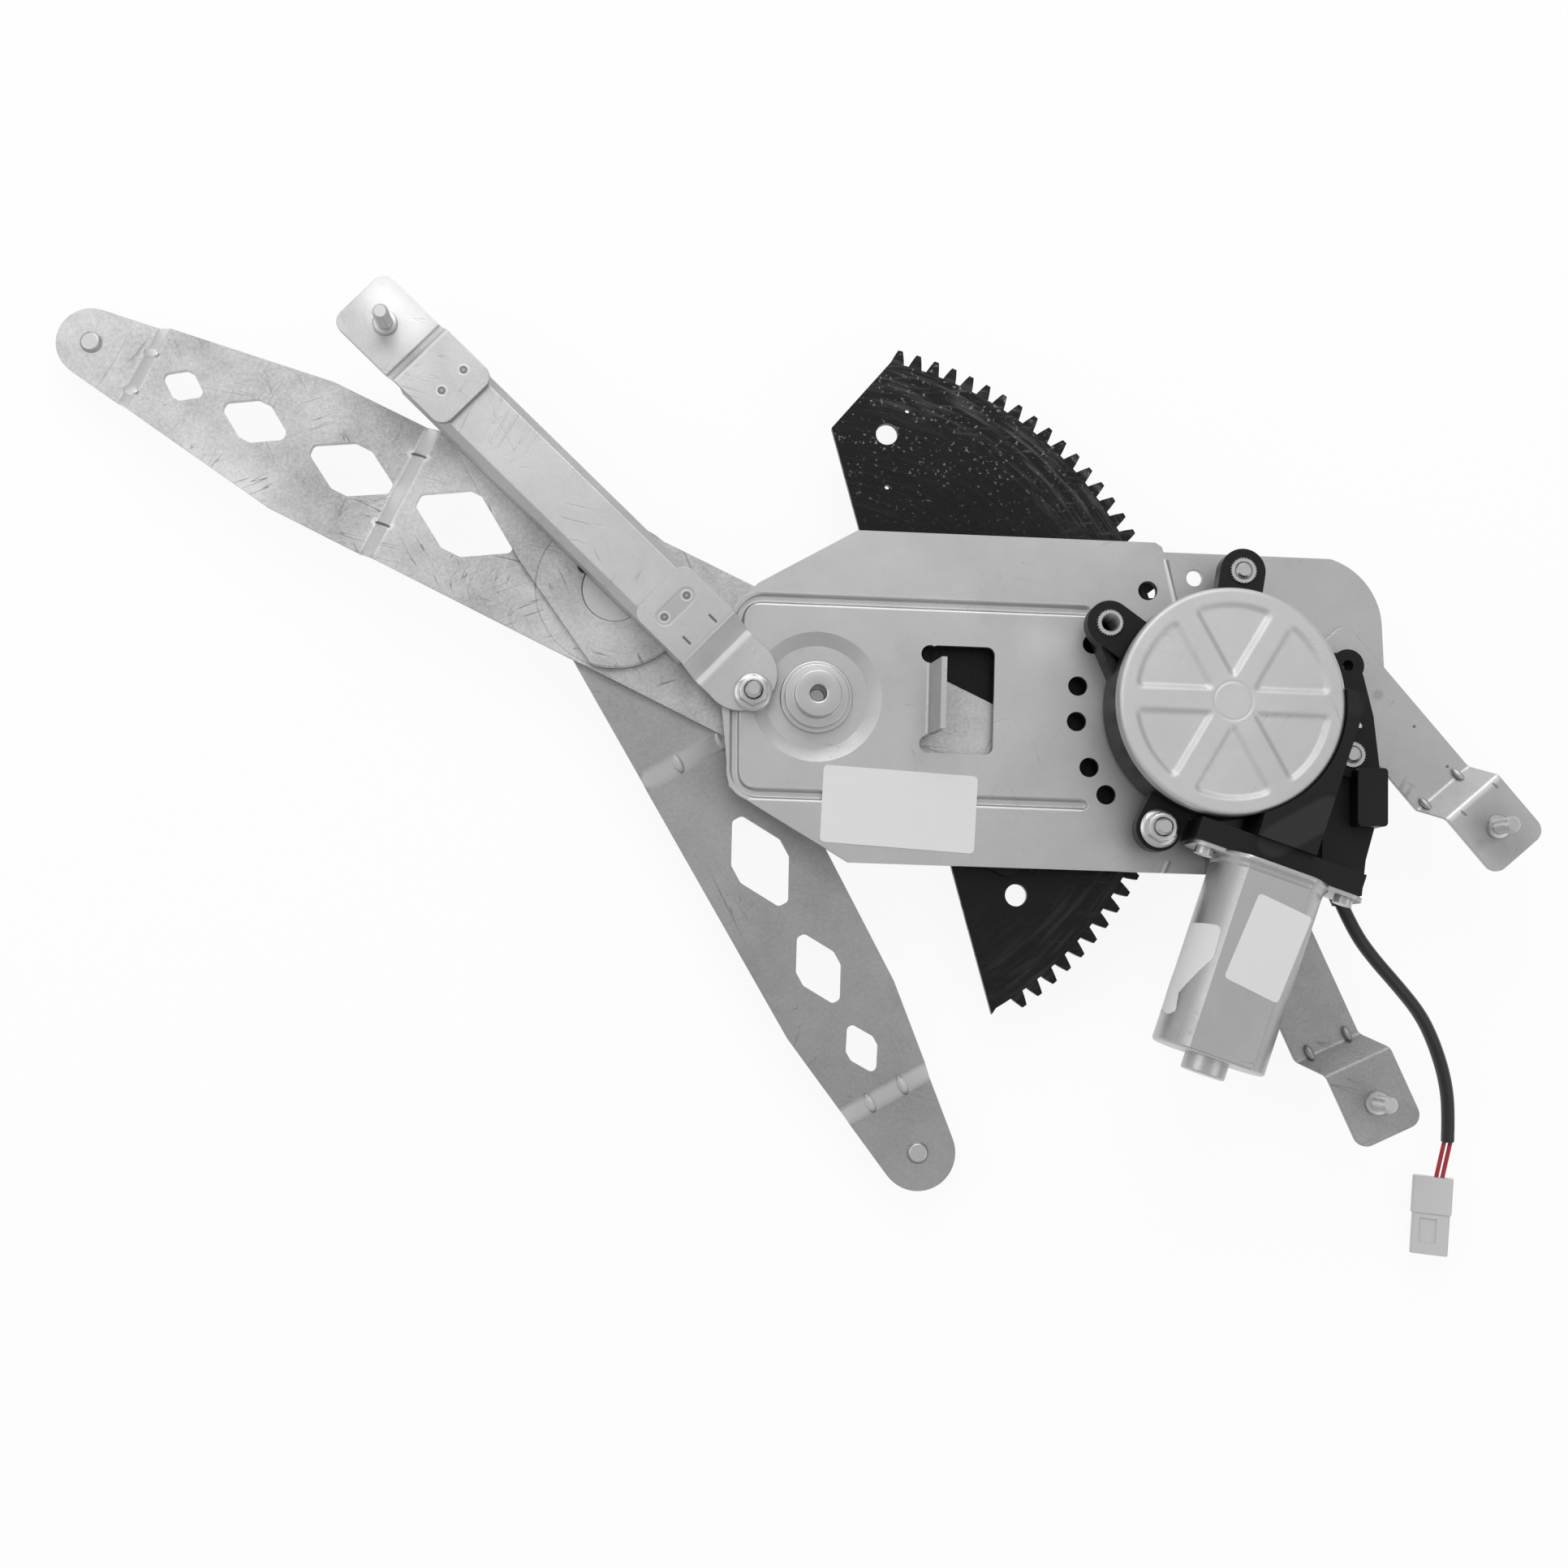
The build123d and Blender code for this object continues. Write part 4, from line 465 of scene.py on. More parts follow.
bracket_marks_and_painted_light = marks(
    # the oval dent between the lower bracket's welds, a painted highlight on the upper pad, and a painted
    # highlight line and a painted shade line along the edges of its step
    [((-52.6, 28.9), 46.5, 5.4, 3.3, 0.5, 0.40, 0.55, -2.5),
     (spot(*channel_line, 208.0, 7.0), 137.4, 7, 7, 7, 0.95, 0.6, 0.0),
     (spot(*channel_line, 188.2, channel_middle), 47.4, 13, 0.5, 0.5, 0.97, 0.7, 0.0),
     (spot(*channel_line, 192.6, channel_middle), 47.4, 13, 0.3, 0.4, 0.15, 0.5, 0.0)]
    # each spot weld is a dark pit with a paler middle
    + [(centre, 0, 0.0, 1.45, 0.3, 0.16, 0.9, -3.0) for centre in welds]
    + [(centre, 0, 0.0, 0.55, 0.4, 0.42, 0.7, 1.5) for centre in welds]
    + [(centre, 137.4, 1.6, 0.45, 0.3, 0.08, 0.85, -3.0) for centre in ((-39.1, 25.1), (-48.2, 16.7))]
    # three specks on the upper leg, a painted highlight along the foot of its step, a painted shade on its
    # pad, the stud's painted shadow beside it, and two dimples
    + [((208.9, 8.5), 0, 0.0, 1.9, 0.6, 0.34, 0.6, -1.0), ((235.1, -17.3), 0, 0.0, 0.6, 0.3, 0.1, 0.8, -1.0),
       ((222.6, -2.8), 0, 0.0, 0.6, 0.3, 0.1, 0.8, -1.0),
       ((242.0, -29.6), 41.6, 11.5, 0.9, 0.9, 0.95, 0.6, 0.0),
       ((252.5, -43.5), -48.4, 5.0, 9.0, 6.0, 0.30, 0.4, 0.0),
       ((246.3, -45.0), 20, 2.0, 1.5, 2.5, 0.20, 0.35, 0.0)]
    + [(centre, -40, 1.0, 0.4, 0.3, 0.15, 0.7, -1.5) for centre in ((250.0, -24.6), (238.2, -35.2))]
    # painted highlights across the channel's lower and upper bends
    + [painted_bend_light(channel_line, lower_bend, channel_middle, 14, 4.4, 0.75),
       painted_bend_light(channel_line, upper_bend, channel_middle, 14, 1.4, 0.7)],
    [(centre, 1.9, 0.5, 0.75, 0.5, 0.8) for centre in welds],
)
slits = [spot(*lift_line, lift_bends[0], across) for across in (-15.4, 13.6)]
arm_marks_and_painted_light = marks(
    # painted highlights across the lift arm's two bends; at each slit a painted highlight on its raised rim
    # and painted shade in its groove
    [painted_bend_light(lift_line, along, 0, half, 3.0, 0.75) for along, half in zip(lift_bends, (24, 20))]
    + [(centre, 155.4, 3.6, 1.5, 0.8, 0.78, 0.6, 1.0) for centre in slits]
    + [(centre, 155.4, 3.0, 0.5, 0.35, 0.08, 0.85, -2.5) for centre in slits]
    + [((-86.4, 45.4), 0, 0.0, 2.6, 0.4, 0.02, 0.97, -3.0), ((70, -67), 0, 8.0, 9.0, 3.0, 0.012, 0.98, 0.0)],
    [(crossing, 29.0, 0.3, 0.12, 0.6, -1.0)]
    + [(centre, 1.9, 0.5, 0.20, 0.6, -0.8) for centre in ((-79.2, 28.5), (-81.5, 41.1), (-70.3, 29.1))],
)
# painted highlights across the equalizer arm's two bends
long_half_bend_highlights = marks([painted_bend_light(long_half_line, along, 0, 22, 3.0, 0.6) for along in long_half_bends])
print("welds", len(welds), "slits", len(slits))

# %% [markdown]
# The zinc of the plate is even, that of the arms is blotched and scratched from handling, and the cover and
# the motor can are smoother, because they were drawn. Turned pins and nuts are brighter than any sheet.

# %% Metals
bronze_dark, bronze_light = (0.45, 0.288, 0.144, 1.0), (0.75, 0.48, 0.24, 1.0)
copper_dark, copper_light = (0.51, 0.27, 0.168, 1.0), (0.85, 0.45, 0.28, 1.0)
for name, dark, light, rough, mottle, clouds, scratches, grain, bump, extra in (
    ("galvanised_plate", 0.38, 0.63, (0.42, 0.58), 0.14, 0.42, 0.30, 1500.0, 0.15, plate_marks_and_painted_light),
    ("galvanised_arm", 0.30, 0.68, (0.38, 0.58), 0.42, 0.85, 0.90, 800.0, 0.30, arm_marks_and_painted_light),
    ("lower_arm_zinc", 0.26, 0.50, (0.42, 0.58), 0.28, 0.55, 0.55, 900.0, 0.20, long_half_bend_highlights),
    ("bracket_zinc", 0.38, 0.64, (0.40, 0.54), 0.20, 0.55, 0.40, 1300.0, 0.15, bracket_marks_and_painted_light),
    ("turned_steel", 0.42, 0.70, (0.24, 0.42), 0.25, 0.30, 0.20, 1800.0, 0.10, None),
    ("cover_steel", 0.48, 0.72, (0.50, 0.62), 0.10, 0.38, 0.30, 1600.0, 0.15, None),
    ("can_steel", 0.38, 0.62, (0.32, 0.48), 0.14, 0.50, 0.45, 1100.0, 0.15, None),
    ("core_steel", 0.18, 0.32, (0.40, 0.60), 0.40, 0.30, 0.20, 900.0, 0.15, None),
    ("bronze", bronze_dark, bronze_light, (0.30, 0.45), 0.20, 0.30, 0.20, 900.0, 0.15, None),
    ("copper_bars", copper_dark, copper_light, (0.25, 0.40), 0.20, 0.30, 0.60, 900.0, 0.15, None),
):
    metal(name, dark, light, rough, mottle, clouds, scratches, grain, bump, extra)
print("metals", sorted(materials))

# %% [markdown]
# Grease on the toothed sector is dark and glossy, and the pinion wipes it along arcs about the main pivot.
# A painted stroke would lie across the arcs, so the pattern is drawn in turned coordinates: the distance
# from the pivot and the way round it.

# %% Plastics, grease and small parts
def greasy(net, position, tint, roughness, height):
    """Arc smears and slanted streaks near the teeth that show less towards the bottom as painted shade,
    pale specks above, patches at the low left.
    """
    parts = net.add("ShaderNodeSeparateXYZ", {0: position}).outputs
    radius = net.vector("LENGTH", net.vector("MULTIPLY", position, (1, 1, 0)))
    way = net.maths("ARCTAN2", parts["Y"], parts["X"])
    turned_place = net.add("ShaderNodeCombineXYZ", {"X": net.maths("MULTIPLY", way, 0.012), "Y": radius})
    smear = net.span(centred_noise(net, turned_place.outputs[0], 420.0, 3.0), -0.1, 0.5)
    slant = {"Vector": position, "Rotation": (0, 0, 1.0), "Scale": (0.12, 1.0, 1.0)}
    slanted = net.add("ShaderNodeMapping", slant).outputs[0]
    streaks = net.span(centred_noise(net, slanted, 700.0, 3.0, 0.7), 0.05, 0.55)
    # the smears and streaks fade towards the bottom: painted shade, as the light falls from the top
    painted_light_from_top = net.span(parts["Y"], -0.06, 0.06, 0.25, 1.0)
    wiped = net.maths("MULTIPLY", net.maths("MAXIMUM", smear, streaks), painted_light_from_top)
    band = net.maths("MULTIPLY", net.span(radius, 0.106, 0.124), wiped)
    specks = net.span(centred_noise(net, position, 620.0, 2.0), 0.26, 0.40)
    patches = net.span(centred_noise(net, position, 75.0, 4.0, 0.7), 0.22, 0.5)
    low_left = net.span(net.vector("DISTANCE", position, (0.062, -0.112, -0.008)), 0.0, 0.032, 1.0, 0.0)
    upper = net.span(parts["Y"], 0.055, 0.10)
    tint = net.mix(net.maths("MULTIPLY", band, 0.8), tint, grey(0.10))
    tint = net.mix(net.maths("MULTIPLY", net.maths("MULTIPLY", specks, upper), 0.6), tint, grey(0.30))
    tint = net.mix(net.maths("MULTIPLY", net.maths("MULTIPLY", patches, low_left), 0.5), tint, grey(0.13))
    return tint, net.span(smear, 0.0, 1.0, 0.30, 0.55), net.maths("ADD", height, smear)


block_painted_highlight_and_marks = marks([
    # a painted highlight on the worm block's raised top, a slightly lighter long band, and a pale spot for
    # the slot in the web
    ((171, -44), 30, 11, 5.5, 1.0, 0.030, 0.75, 0.0), ((183.5, 14), -68, 16, 3.0, 1.5, 0.02, 0.6, 0.0),
    ((196.9, -3.9), -55, 1.5, 0.7, 0.2, 0.8, 0.95, 0.0),
])
housing_black = (0.007, 0.007, 0.0075)
shades("black_plastic", housing_black, (0.32, 0.50), 0.35, 1400.0, 0.14, shine=0.24, extra=block_painted_highlight_and_marks)
shades("greased_gear", (0.007, 0.007, 0.007), (0.3, 0.5), 0.4, 1000.0, 0.3, shine=0.15, extra=greasy)
shades("lead_black", (0.012, 0.012, 0.013), (0.34, 0.46), 0.25, 1600.0, 0.10)
shades("wire_red", (0.36, 0.012, 0.03), (0.30, 0.45), 0.25, 1500.0, 0.08)
shades("plug_white", (0.55, 0.56, 0.55), (0.32, 0.45), 0.05, 1500.0, 0.06)
shades("roller_plastic", (0.55, 0.54, 0.50), (0.38, 0.5), 0.08, 1200.0, 0.1)
shades("wheel_plastic", (0.30, 0.29, 0.26), (0.38, 0.5), 0.08, 1200.0, 0.1)
shades("magnet_ferrite", (0.05, 0.05, 0.055), (0.5, 0.65), 0.2, 1300.0, 0.25)
shades("carbon", (0.03, 0.03, 0.03), (0.55, 0.7), 0.25, 1600.0, 0.3)
shades("label_paper", (0.71, 0.71, 0.71), (0.6, 0.72), 0.035, 1200.0, 0.06, shine=0.3)
print("materials", len(materials))

# %% [markdown]
# ## Surfaces from arrays
# Nearly every small piece is one sheet of points on a grid. Primitives and booleans could give it too, but
# a grid says where every point lies and stays closed. `surface` takes such grids, joins neighbouring points
# by quads, merges points that fall together, so that poles close, and turns the faces outwards. `turned`
# makes the grid of a lathe piece, and `eased` blunts the corners of a profile first.

# %% Grids into pieces
nodes = frame["nodes"]
touching = 1e-6


def finish_piece(name, mesh, body, material, crease=35.0):
    """Smooth shading up to a crease angle, a material and a body to ride on."""
    if "custom_normal" in mesh.attributes:
        mesh.attributes.remove(mesh.attributes["custom_normal"])
    mesh.shade_smooth()
    mesh.set_sharp_from_angle(angle=math.radians(crease))
    mesh.materials.clear()
    mesh.materials.append(materials[material])
    piece = bpy.data.objects.new(name, mesh)
    bpy.context.scene.collection.objects.link(piece)
    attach(piece, body)
    return piece


def surface(name, grids, body, material, slot, ring=False, around=True, crease=35.0):
    """Quads between the neighbours of each grid of points; `ring` and `around` join its last row or column
    to its first."""
    points, quads, first = [], [], 0
    for grid in grids:
        rows, columns = grid.shape[:2]
        row = np.arange(rows if ring else rows - 1)[:, None]
        column = np.arange(columns if around else columns - 1)[None, :]
        corner = [(r % rows) * columns + c % columns for r, c in (
            (row, column), (row, column + 1), (row + 1, column + 1), (row + 1, column))]
        quads.append(first + np.stack(np.broadcast_arrays(*corner), -1).reshape(-1, 4))
        points.append(grid.reshape(-1, 3))
        first += rows * columns
    mesh = bpy.data.meshes.new(name)
    mesh.from_pydata(np.concatenate(points).tolist(), [], np.concatenate(quads).tolist())
    work = bmesh.new()
    work.from_mesh(mesh)
    bmesh.ops.remove_doubles(work, verts=work.verts, dist=touching)
    bmesh.ops.recalc_face_normals(work, faces=work.faces)
    work.to_mesh(mesh)
    work.free()
    return finish_piece(name, mesh, body, material, crease)


def fixed(name, grids, material, **options):
    """A surface that belongs to the fixed frame."""
    return surface(name, grids, "frame", material, material, **options)


def eased(points, radius, steps=4, closed=False):
    """A line with blunted corners: each becomes a quadratic curve from a point `radius` before it to one as
    far after it, or less where a side is short."""
    points = np.asarray(points, float)

    def towards(others):
        away = others - points
        length = np.maximum(np.linalg.norm(away, axis=1, keepdims=True), 1e-9)
        return points + away / length * np.minimum(radius, 0.45 * length)

    start, end = towards(np.roll(points, 1, 0)), towards(np.roll(points, -1, 0))
    if not closed:
        start[[0, -1]] = end[[0, -1]] = points[[0, -1]]
    t = np.linspace(0, 1, steps)[None, :, None]
    curve = (1 - t) ** 2 * start[:, None] + 2 * t * (1 - t) * points[:, None] + t ** 2 * end[:, None]
    return curve.reshape(-1, points.shape[1])


def turned(centre, profile, steps=64):
    """A lathe grid: each profile point (radius, height) goes round the upright axis through the centre."""
    profile = np.asarray(profile, float)
    way = np.linspace(0, 2 * math.pi, steps, endpoint=False)
    radius, height = profile[:, :1], profile[:, 1:]
    x, y = centre[0] + radius * np.cos(way), centre[1] + radius * np.sin(way)
    return np.stack([x, y, height + 0 * way], -1) * mm


# %% [markdown]
# ## Sheet parts with soft edges
# A sheared steel edge or a moulded corner is never knife sharp, and the thin bright line along it is what
# makes a part look real. The CAD could carry it, but hundreds of tiny fillets would make it heavy. So the
# CAD's own mesh is copied, its triangles are merged back into flat faces, and a Bevel modifier rolls off
# every sharp edge. The copy then stands in for the CAD node.

# %% Soft copies of the CAD nodes
body_of = {name: body for body, names in frame["record"]["behaviour"]["bodies"].items() for name in names}


def soften(node, material, width, corner=32.0):
    """A copy of a node with edges rolled to a width in millimetres, which replaces it. Edges above the corner
    angle count as sharp."""
    mesh = nodes[node].data.copy()
    work = bmesh.new()
    work.from_mesh(mesh)
    bmesh.ops.remove_doubles(work, verts=work.verts, dist=2 * touching)
    bmesh.ops.dissolve_limit(
        work, angle_limit=math.radians(0.6), verts=work.verts, edges=work.edges, delimit={"NORMAL"})
    work.to_mesh(mesh)
    work.free()
    piece = finish_piece(node + "_soft", mesh, body_of[node], material, corner - 2.0)
    edge = piece.modifiers.new("rolled_edge", "BEVEL")
    edge.width = width * mm
    edge.segments = 2
    edge.limit_method = "ANGLE"
    edge.angle_limit = math.radians(corner)
    edge.harden_normals = True
    edge.use_clamp_overlap = True
    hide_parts(node)
    return piece


for node, material, width, *corner in (
    ("base_plate", "galvanised_plate", 0.35, 19.0),
    ("motor_plate", "galvanised_plate", 0.3),
    ("upper_leg", "bracket_zinc", 0.35),
    ("lower_leg", "lower_arm_zinc", 0.35),
    ("equalizer_channel", "bracket_zinc", 0.4),
    ("channel_upper_bracket", "bracket_zinc", 0.35),
    ("channel_lower_bracket", "bracket_zinc", 0.35),
    ("lift_arm", "galvanised_arm", 0.4),
    ("equalizer_arm", "lower_arm_zinc", 0.4),
    ("equalizer_link", "galvanised_arm", 0.3),
    ("sector_gear", "greased_gear", 0.25),
    ("gear_housing", "black_plastic", 0.5),
    ("motor_can", "can_steel", 0.35),
    ("cross_pivot", "turned_steel", 0.3),
    ("lift_tip_pin", "turned_steel", 0.4),
    ("equalizer_tip_pin", "turned_steel", 0.4),
    ("channel_roller_pin", "turned_steel", 0.3),
    ("lift_roller", "roller_plastic", 0.3),
    ("equalizer_roller", "roller_plastic", 0.3),
    ("channel_roller", "roller_plastic", 0.3),
    ("plug_housing", "plug_white", 0.35),
):
    soften(node, material, width, *corner)

# %% [markdown]
# The parts that hide inside the motor, and the small plain ones, keep their CAD shape and only get a
# finish.

# %% Finishes of the plain nodes
for material, names in {
    "bronze": ("lift_bush", "output_bush", "worm_bush", "can_bearing"),
    "turned_steel": ("output_shaft", "armature_shaft", "pinion", "flange_screws"),
    "wheel_plastic": ("worm_wheel", "brush_holder"),
    "core_steel": ("armature_core",),
    "magnet_ferrite": ("field_magnets",),
    "copper_bars": ("commutator",),
    "carbon": ("brushes",),
    "lead_black": ("lead_gland",),
    "wire_red": ("lead_wires",),
}.items():
    for name in names:
        for holder in nodes[name].material_slots:
            holder.material = materials[material]
print("plain nodes done")

# %% [markdown]
# ## The lead
# A sheathed lead hangs out of the motor's end plate and lies down in an easy S. A mesh tube would be stiff
# for good, so it is one NURBS curve on the same control points as the CAD tube, with a round bevel.

# %% Sheath
lead_points = np.array([
    (194.3, -69.1, 2.5), (199.4, -79.3, 1.6), (207.2, -88.7, -0.6), (218.4, -99.5, -3.8),
    (228.1, -109.3, -7.8), (234.9, -120.2, -12.0), (240.4, -132.7, -16.2), (243.1, -144.8, -19.6),
    (243.6, -156.2, -22.0),
]) * mm
sheath_curve = bpy.data.curves.new("sheath_line", "CURVE")
sheath_curve.dimensions = "3D"
line = sheath_curve.splines.new("NURBS")
line.points.add(len(lead_points) - 1)
line.points.foreach_set("co", np.column_stack([lead_points, np.ones(len(lead_points))]).ravel())
line.order_u = 3
line.use_endpoint_u = True
line.resolution_u = 12
sheath_curve.bevel_depth = 2.45 * mm
sheath_curve.bevel_resolution = 6
sheath_curve.use_fill_caps = True
sheath_curve.materials.append(materials["lead_black"])
sheath = bpy.data.objects.new("lead_sheath_line", sheath_curve)
bpy.context.scene.collection.objects.link(sheath)
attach(sheath, "frame")
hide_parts("lead_sheath")
print("lead points", len(lead_points))

# %% [markdown]
# ## Threads and nuts
# A thread could be cut with a Screw modifier, whose ends stay open. Here it is worked out: a thread is a
# helix, so the rod's radius depends on the height and on the way round it, as a triangle wave whose phase
# climbs one pitch per turn. The lead-in at the tip is the lesser of that radius and a cone.

# %% Thread surface
def wave(height, way, pitch):
    """Nought at the crest, one at the root: twice the distance of (height / pitch - turns) from a whole
    number."""
    phase = height / pitch - way / (2 * math.pi)
    return 2 * np.abs(phase - np.round(phase))


def rod(centre, low, thread_from, top, radius=2.98, pitch=1.0, depth=0.5, lead_in=0.85, steps=48):
    """A lathe grid of the low profile, then a threaded shank that ends in a cone and a flat tip."""
    height = np.arange(thread_from, top + pitch / 16, pitch / 8)[:, None]
    height = np.minimum(height, top)
    way = np.linspace(0, 2 * math.pi, steps, endpoint=False)
    full = radius - depth * wave(height, way, pitch) * np.clip((height - thread_from) / pitch, 0, 1)
    full = np.minimum(full, radius - lead_in + np.clip(top - height, 0, lead_in))
    shank = np.stack([full * np.cos(way), full * np.sin(way), height + 0 * way], -1)
    shank[..., 0] += centre[0]
    shank[..., 1] += centre[1]
    tip = turned(centre, [(0, top)], steps)
    return np.concatenate([turned(centre, low, steps), shank * mm, tip])


def nut(centre, seat, across=10.0, tall=6.0, flange=7.1, bore=3.02, steps=96):
    """A closed ring of rows: bore, round flange, six flats cut by a cone, and the face back to the bore."""
    way = np.linspace(0, 2 * math.pi, steps, endpoint=False)
    flats = across / 2 / np.cos((way + math.pi / 6) % (math.pi / 3) - math.pi / 6)
    rows = [(bore, 0.0), (flange - 0.3, 0.0), (flange, 0.3), (flange, 0.8), (flange - 0.4, 1.15), (6.1, 1.5)]
    grid = [turned(centre, [(radius, seat + height)], steps) for radius, height in rows]
    for height in (1.6, 1.9, 5.0, 5.25, 5.45, 5.65, 5.85, 6.0):
        radius = np.minimum(flats, 4.75 + (tall - height) * 1.73)
        x, y = centre[0] + radius * np.cos(way), centre[1] + radius * np.sin(way)
        grid.append(np.stack([x, y, seat + height + 0 * way], -1)[None] * mm)
    grid += [turned(centre, [(3.6, seat + tall), (bore, seat + tall - 0.5)], steps)]
    return np.concatenate(grid)


print("thread from", round(float(wave(0.0, 0.0, 1.0)), 2), "to", round(float(wave(0.5, 0.0, 1.0)), 2))

# %% [markdown]
# Three welded studs carry the regulator in the door, a fourth holds the channel's lower bracket, and a stud
# and two screws hold the motor's ears. All are M6, so they are the same rod with another foot.

# %% Studs, screws and nuts
motor = (146.25, 0.0)
ears = [spot(motor, degrees, 50.5) for degrees in (145.2, 81.7, 243.4, -18.5)]
pad_studs = [(251.0, -39.8), (206.2, -141.2), spot(*channel_line, 207.0, channel_middle)]
plate_stud = spot(*channel_line, 17.6, 15.5)
pad_foot = [
    (0, 4.6), (4.1, 4.6), (4.4, 4.9), (4.4, 6), (3, 6), (3, 8), (4.2, 8), (4.5, 8.3), (4.5, 9.1), (4.1, 9.6),
    (3, 9.75),
]
plate_foot = [(0, -2), (2.98, -2), (2.98, 2.2)]
ear_foot = [(0, -5.4), (4.4, -5.4), (4.4, -4), (2.98, -4), (2.98, 12)]
screw_head = [(0, -6.4), (4.2, -6.4), (5, -5.8), (5, -4), (2.98, -4), (2.98, 9.8)]
for name, node, places, foot, thread_from, top in (
    ("pad_studs", "mounting_studs", pad_studs, pad_foot, 10.0, 22.0),
    ("plate_stud", "bracket_stud", [plate_stud], plate_foot, 2.4, 12.0),
    ("ear_stud", "motor_stud", [ears[2]], ear_foot, 12.2, 26.0),
    ("ear_screws", "motor_screws", [ears[1], ears[3]], screw_head, 10.0, 17.0),
):
    piece = fixed(name, [rod(centre, foot, thread_from, top) for centre in places], "turned_steel")
    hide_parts(node)
    print(name, len(places))
for name, node, centre, seat in (
    ("plate_nut", "bracket_nut", plate_stud, 2.0),
    ("ear_nut", "motor_nut", ears[2], 16.0),
):
    piece = fixed(name, [nut(centre, seat)], "turned_steel", ring=True)
    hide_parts(node)
    print(name, len(piece.data.polygons), "faces")

# %% [markdown]
# The motor's ears are lined with knurled steel sleeves. Their top ring bites like a fine gear, and the
# empty one shows its own thread inside. A cosine on the radius draws the knurl without cutting a single
# tooth.

# %% Ear sleeves
def sleeve(centre, foot, threaded, top=16.0, ear=15.05, bore=3.02, steps=112):
    """Rows up the outside, where the ring above the ear has a cosine knurl, then down the bore."""
    way = np.linspace(0, 2 * math.pi, steps, endpoint=False)
    knurl = 0.22 * np.cos(28 * way)
    outside = [
        (4.2, foot, 0), (4.2, ear, 0), (4.85, ear, 1), (4.85, top - 0.35, 1), (4.55, top, 0.5), (3.4, top, 0)]
    rows = [(radius + share * knurl, height + 0 * way) for radius, height, share in outside]
    height = np.arange(top - 0.3, foot, -0.125 if threaded else -(top - foot) / 2)[:, None]
    inside = bore + (0.4 * wave(height, way, 1.0) if threaded else 0 * height * way)
    rows += [(radius, down + 0 * way) for radius, down in zip(inside, height)]
    rows.append((bore + 0 * way, foot + 0 * way))
    radius, up = (np.stack(part) for part in zip(*rows))
    return np.stack([centre[0] + radius * np.cos(way), centre[1] + radius * np.sin(way), up], -1) * mm


sleeve_feet = (0, -2, 0, -2)
grids = [sleeve(ear, foot, index == 0) for index, (ear, foot) in enumerate(zip(ears, sleeve_feet))]
piece = fixed("knurled_sleeves", grids, "turned_steel", ring=True)
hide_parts("ear_sleeves")
print("sleeves", len(grids))

# %% [markdown]
# ## The main pivot
# A turned hub with a collar, riveted through a washer in the plate's dish. Stacked cylinders would meet in
# hard lines, so its profile is one zigzag of radii and heights with every corner eased, spun round the
# axis.

# %% Main pivot and its washer
profile = [
    (0, -2), (2.9, -2), (2.9, 9.5), (3.4, 10), (8.5, 10), (8.5, 3), (11.8, 3), (11.8, -0.5), (7, -0.5),
    (7, -4), (9, -4), (9, -5), (7, -5), (7, -7.7), (11, -7.7), (10, -9.6), (0, -9.6),
]
piece = fixed("pivot_hub", [turned(main_pivot, eased(profile, 0.45), 96)], "turned_steel")
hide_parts("main_pivot_pin")
profile = eased([(7.02, -2), (13.3, -2), (13.3, -0.5), (7.02, -0.5)], 0.5, closed=True)
washer = fixed("hub_washer", [turned(main_pivot, profile, 96)], "turned_steel", ring=True)
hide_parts("pivot_washer")
print("pivot faces", len(piece.data.polygons), "washer faces", len(washer.data.polygons))

# %% [markdown]
# ## The gear cover
# The lid is drawn from thin sheet: a flat rim rolls over into a low wall, and six panels between the spokes
# are pressed down with soft, rounded borders. On a polar grid the height is a function of radius and angle.
# The depth inside a panel grows with the distance to its nearest border, and where two borders meet their
# distances are blended, which rounds the corner.

# %% Cover
cover_outer, cover_top, cover_low, sheet, roll = 40.9, 30.0, 23.0, 1.2, 1.7
spoke_half, panel_end, corner_round, slope, panel_depth = 3.0, 35.9, 3.4, 2.7, 1.2
hub_ring, hub_ring_depth, hub_ring_width = 6.9, 0.22, 0.35


def panel_sink(radius, way):
    """How far the lid is pressed down at a polar place: nought on rim, spokes and hub, full depth within."""
    inside = (way % (math.pi / 3)) - math.pi / 6
    to_spokes = [radius * np.sin(math.pi / 6 + side * inside) - spoke_half for side in (1, -1)]
    gaps = [np.maximum(corner_round - gap, 0) for gap in (*to_spokes, panel_end - radius)]
    border = corner_round - np.sqrt(sum(gap ** 2 for gap in gaps))
    share = np.clip(border / slope, 0, 1)
    sunk = panel_depth * share ** 2 * (3 - 2 * share)
    groove = hub_ring_depth * np.exp(-(((radius - hub_ring) / hub_ring_width) ** 2))
    return sunk + groove


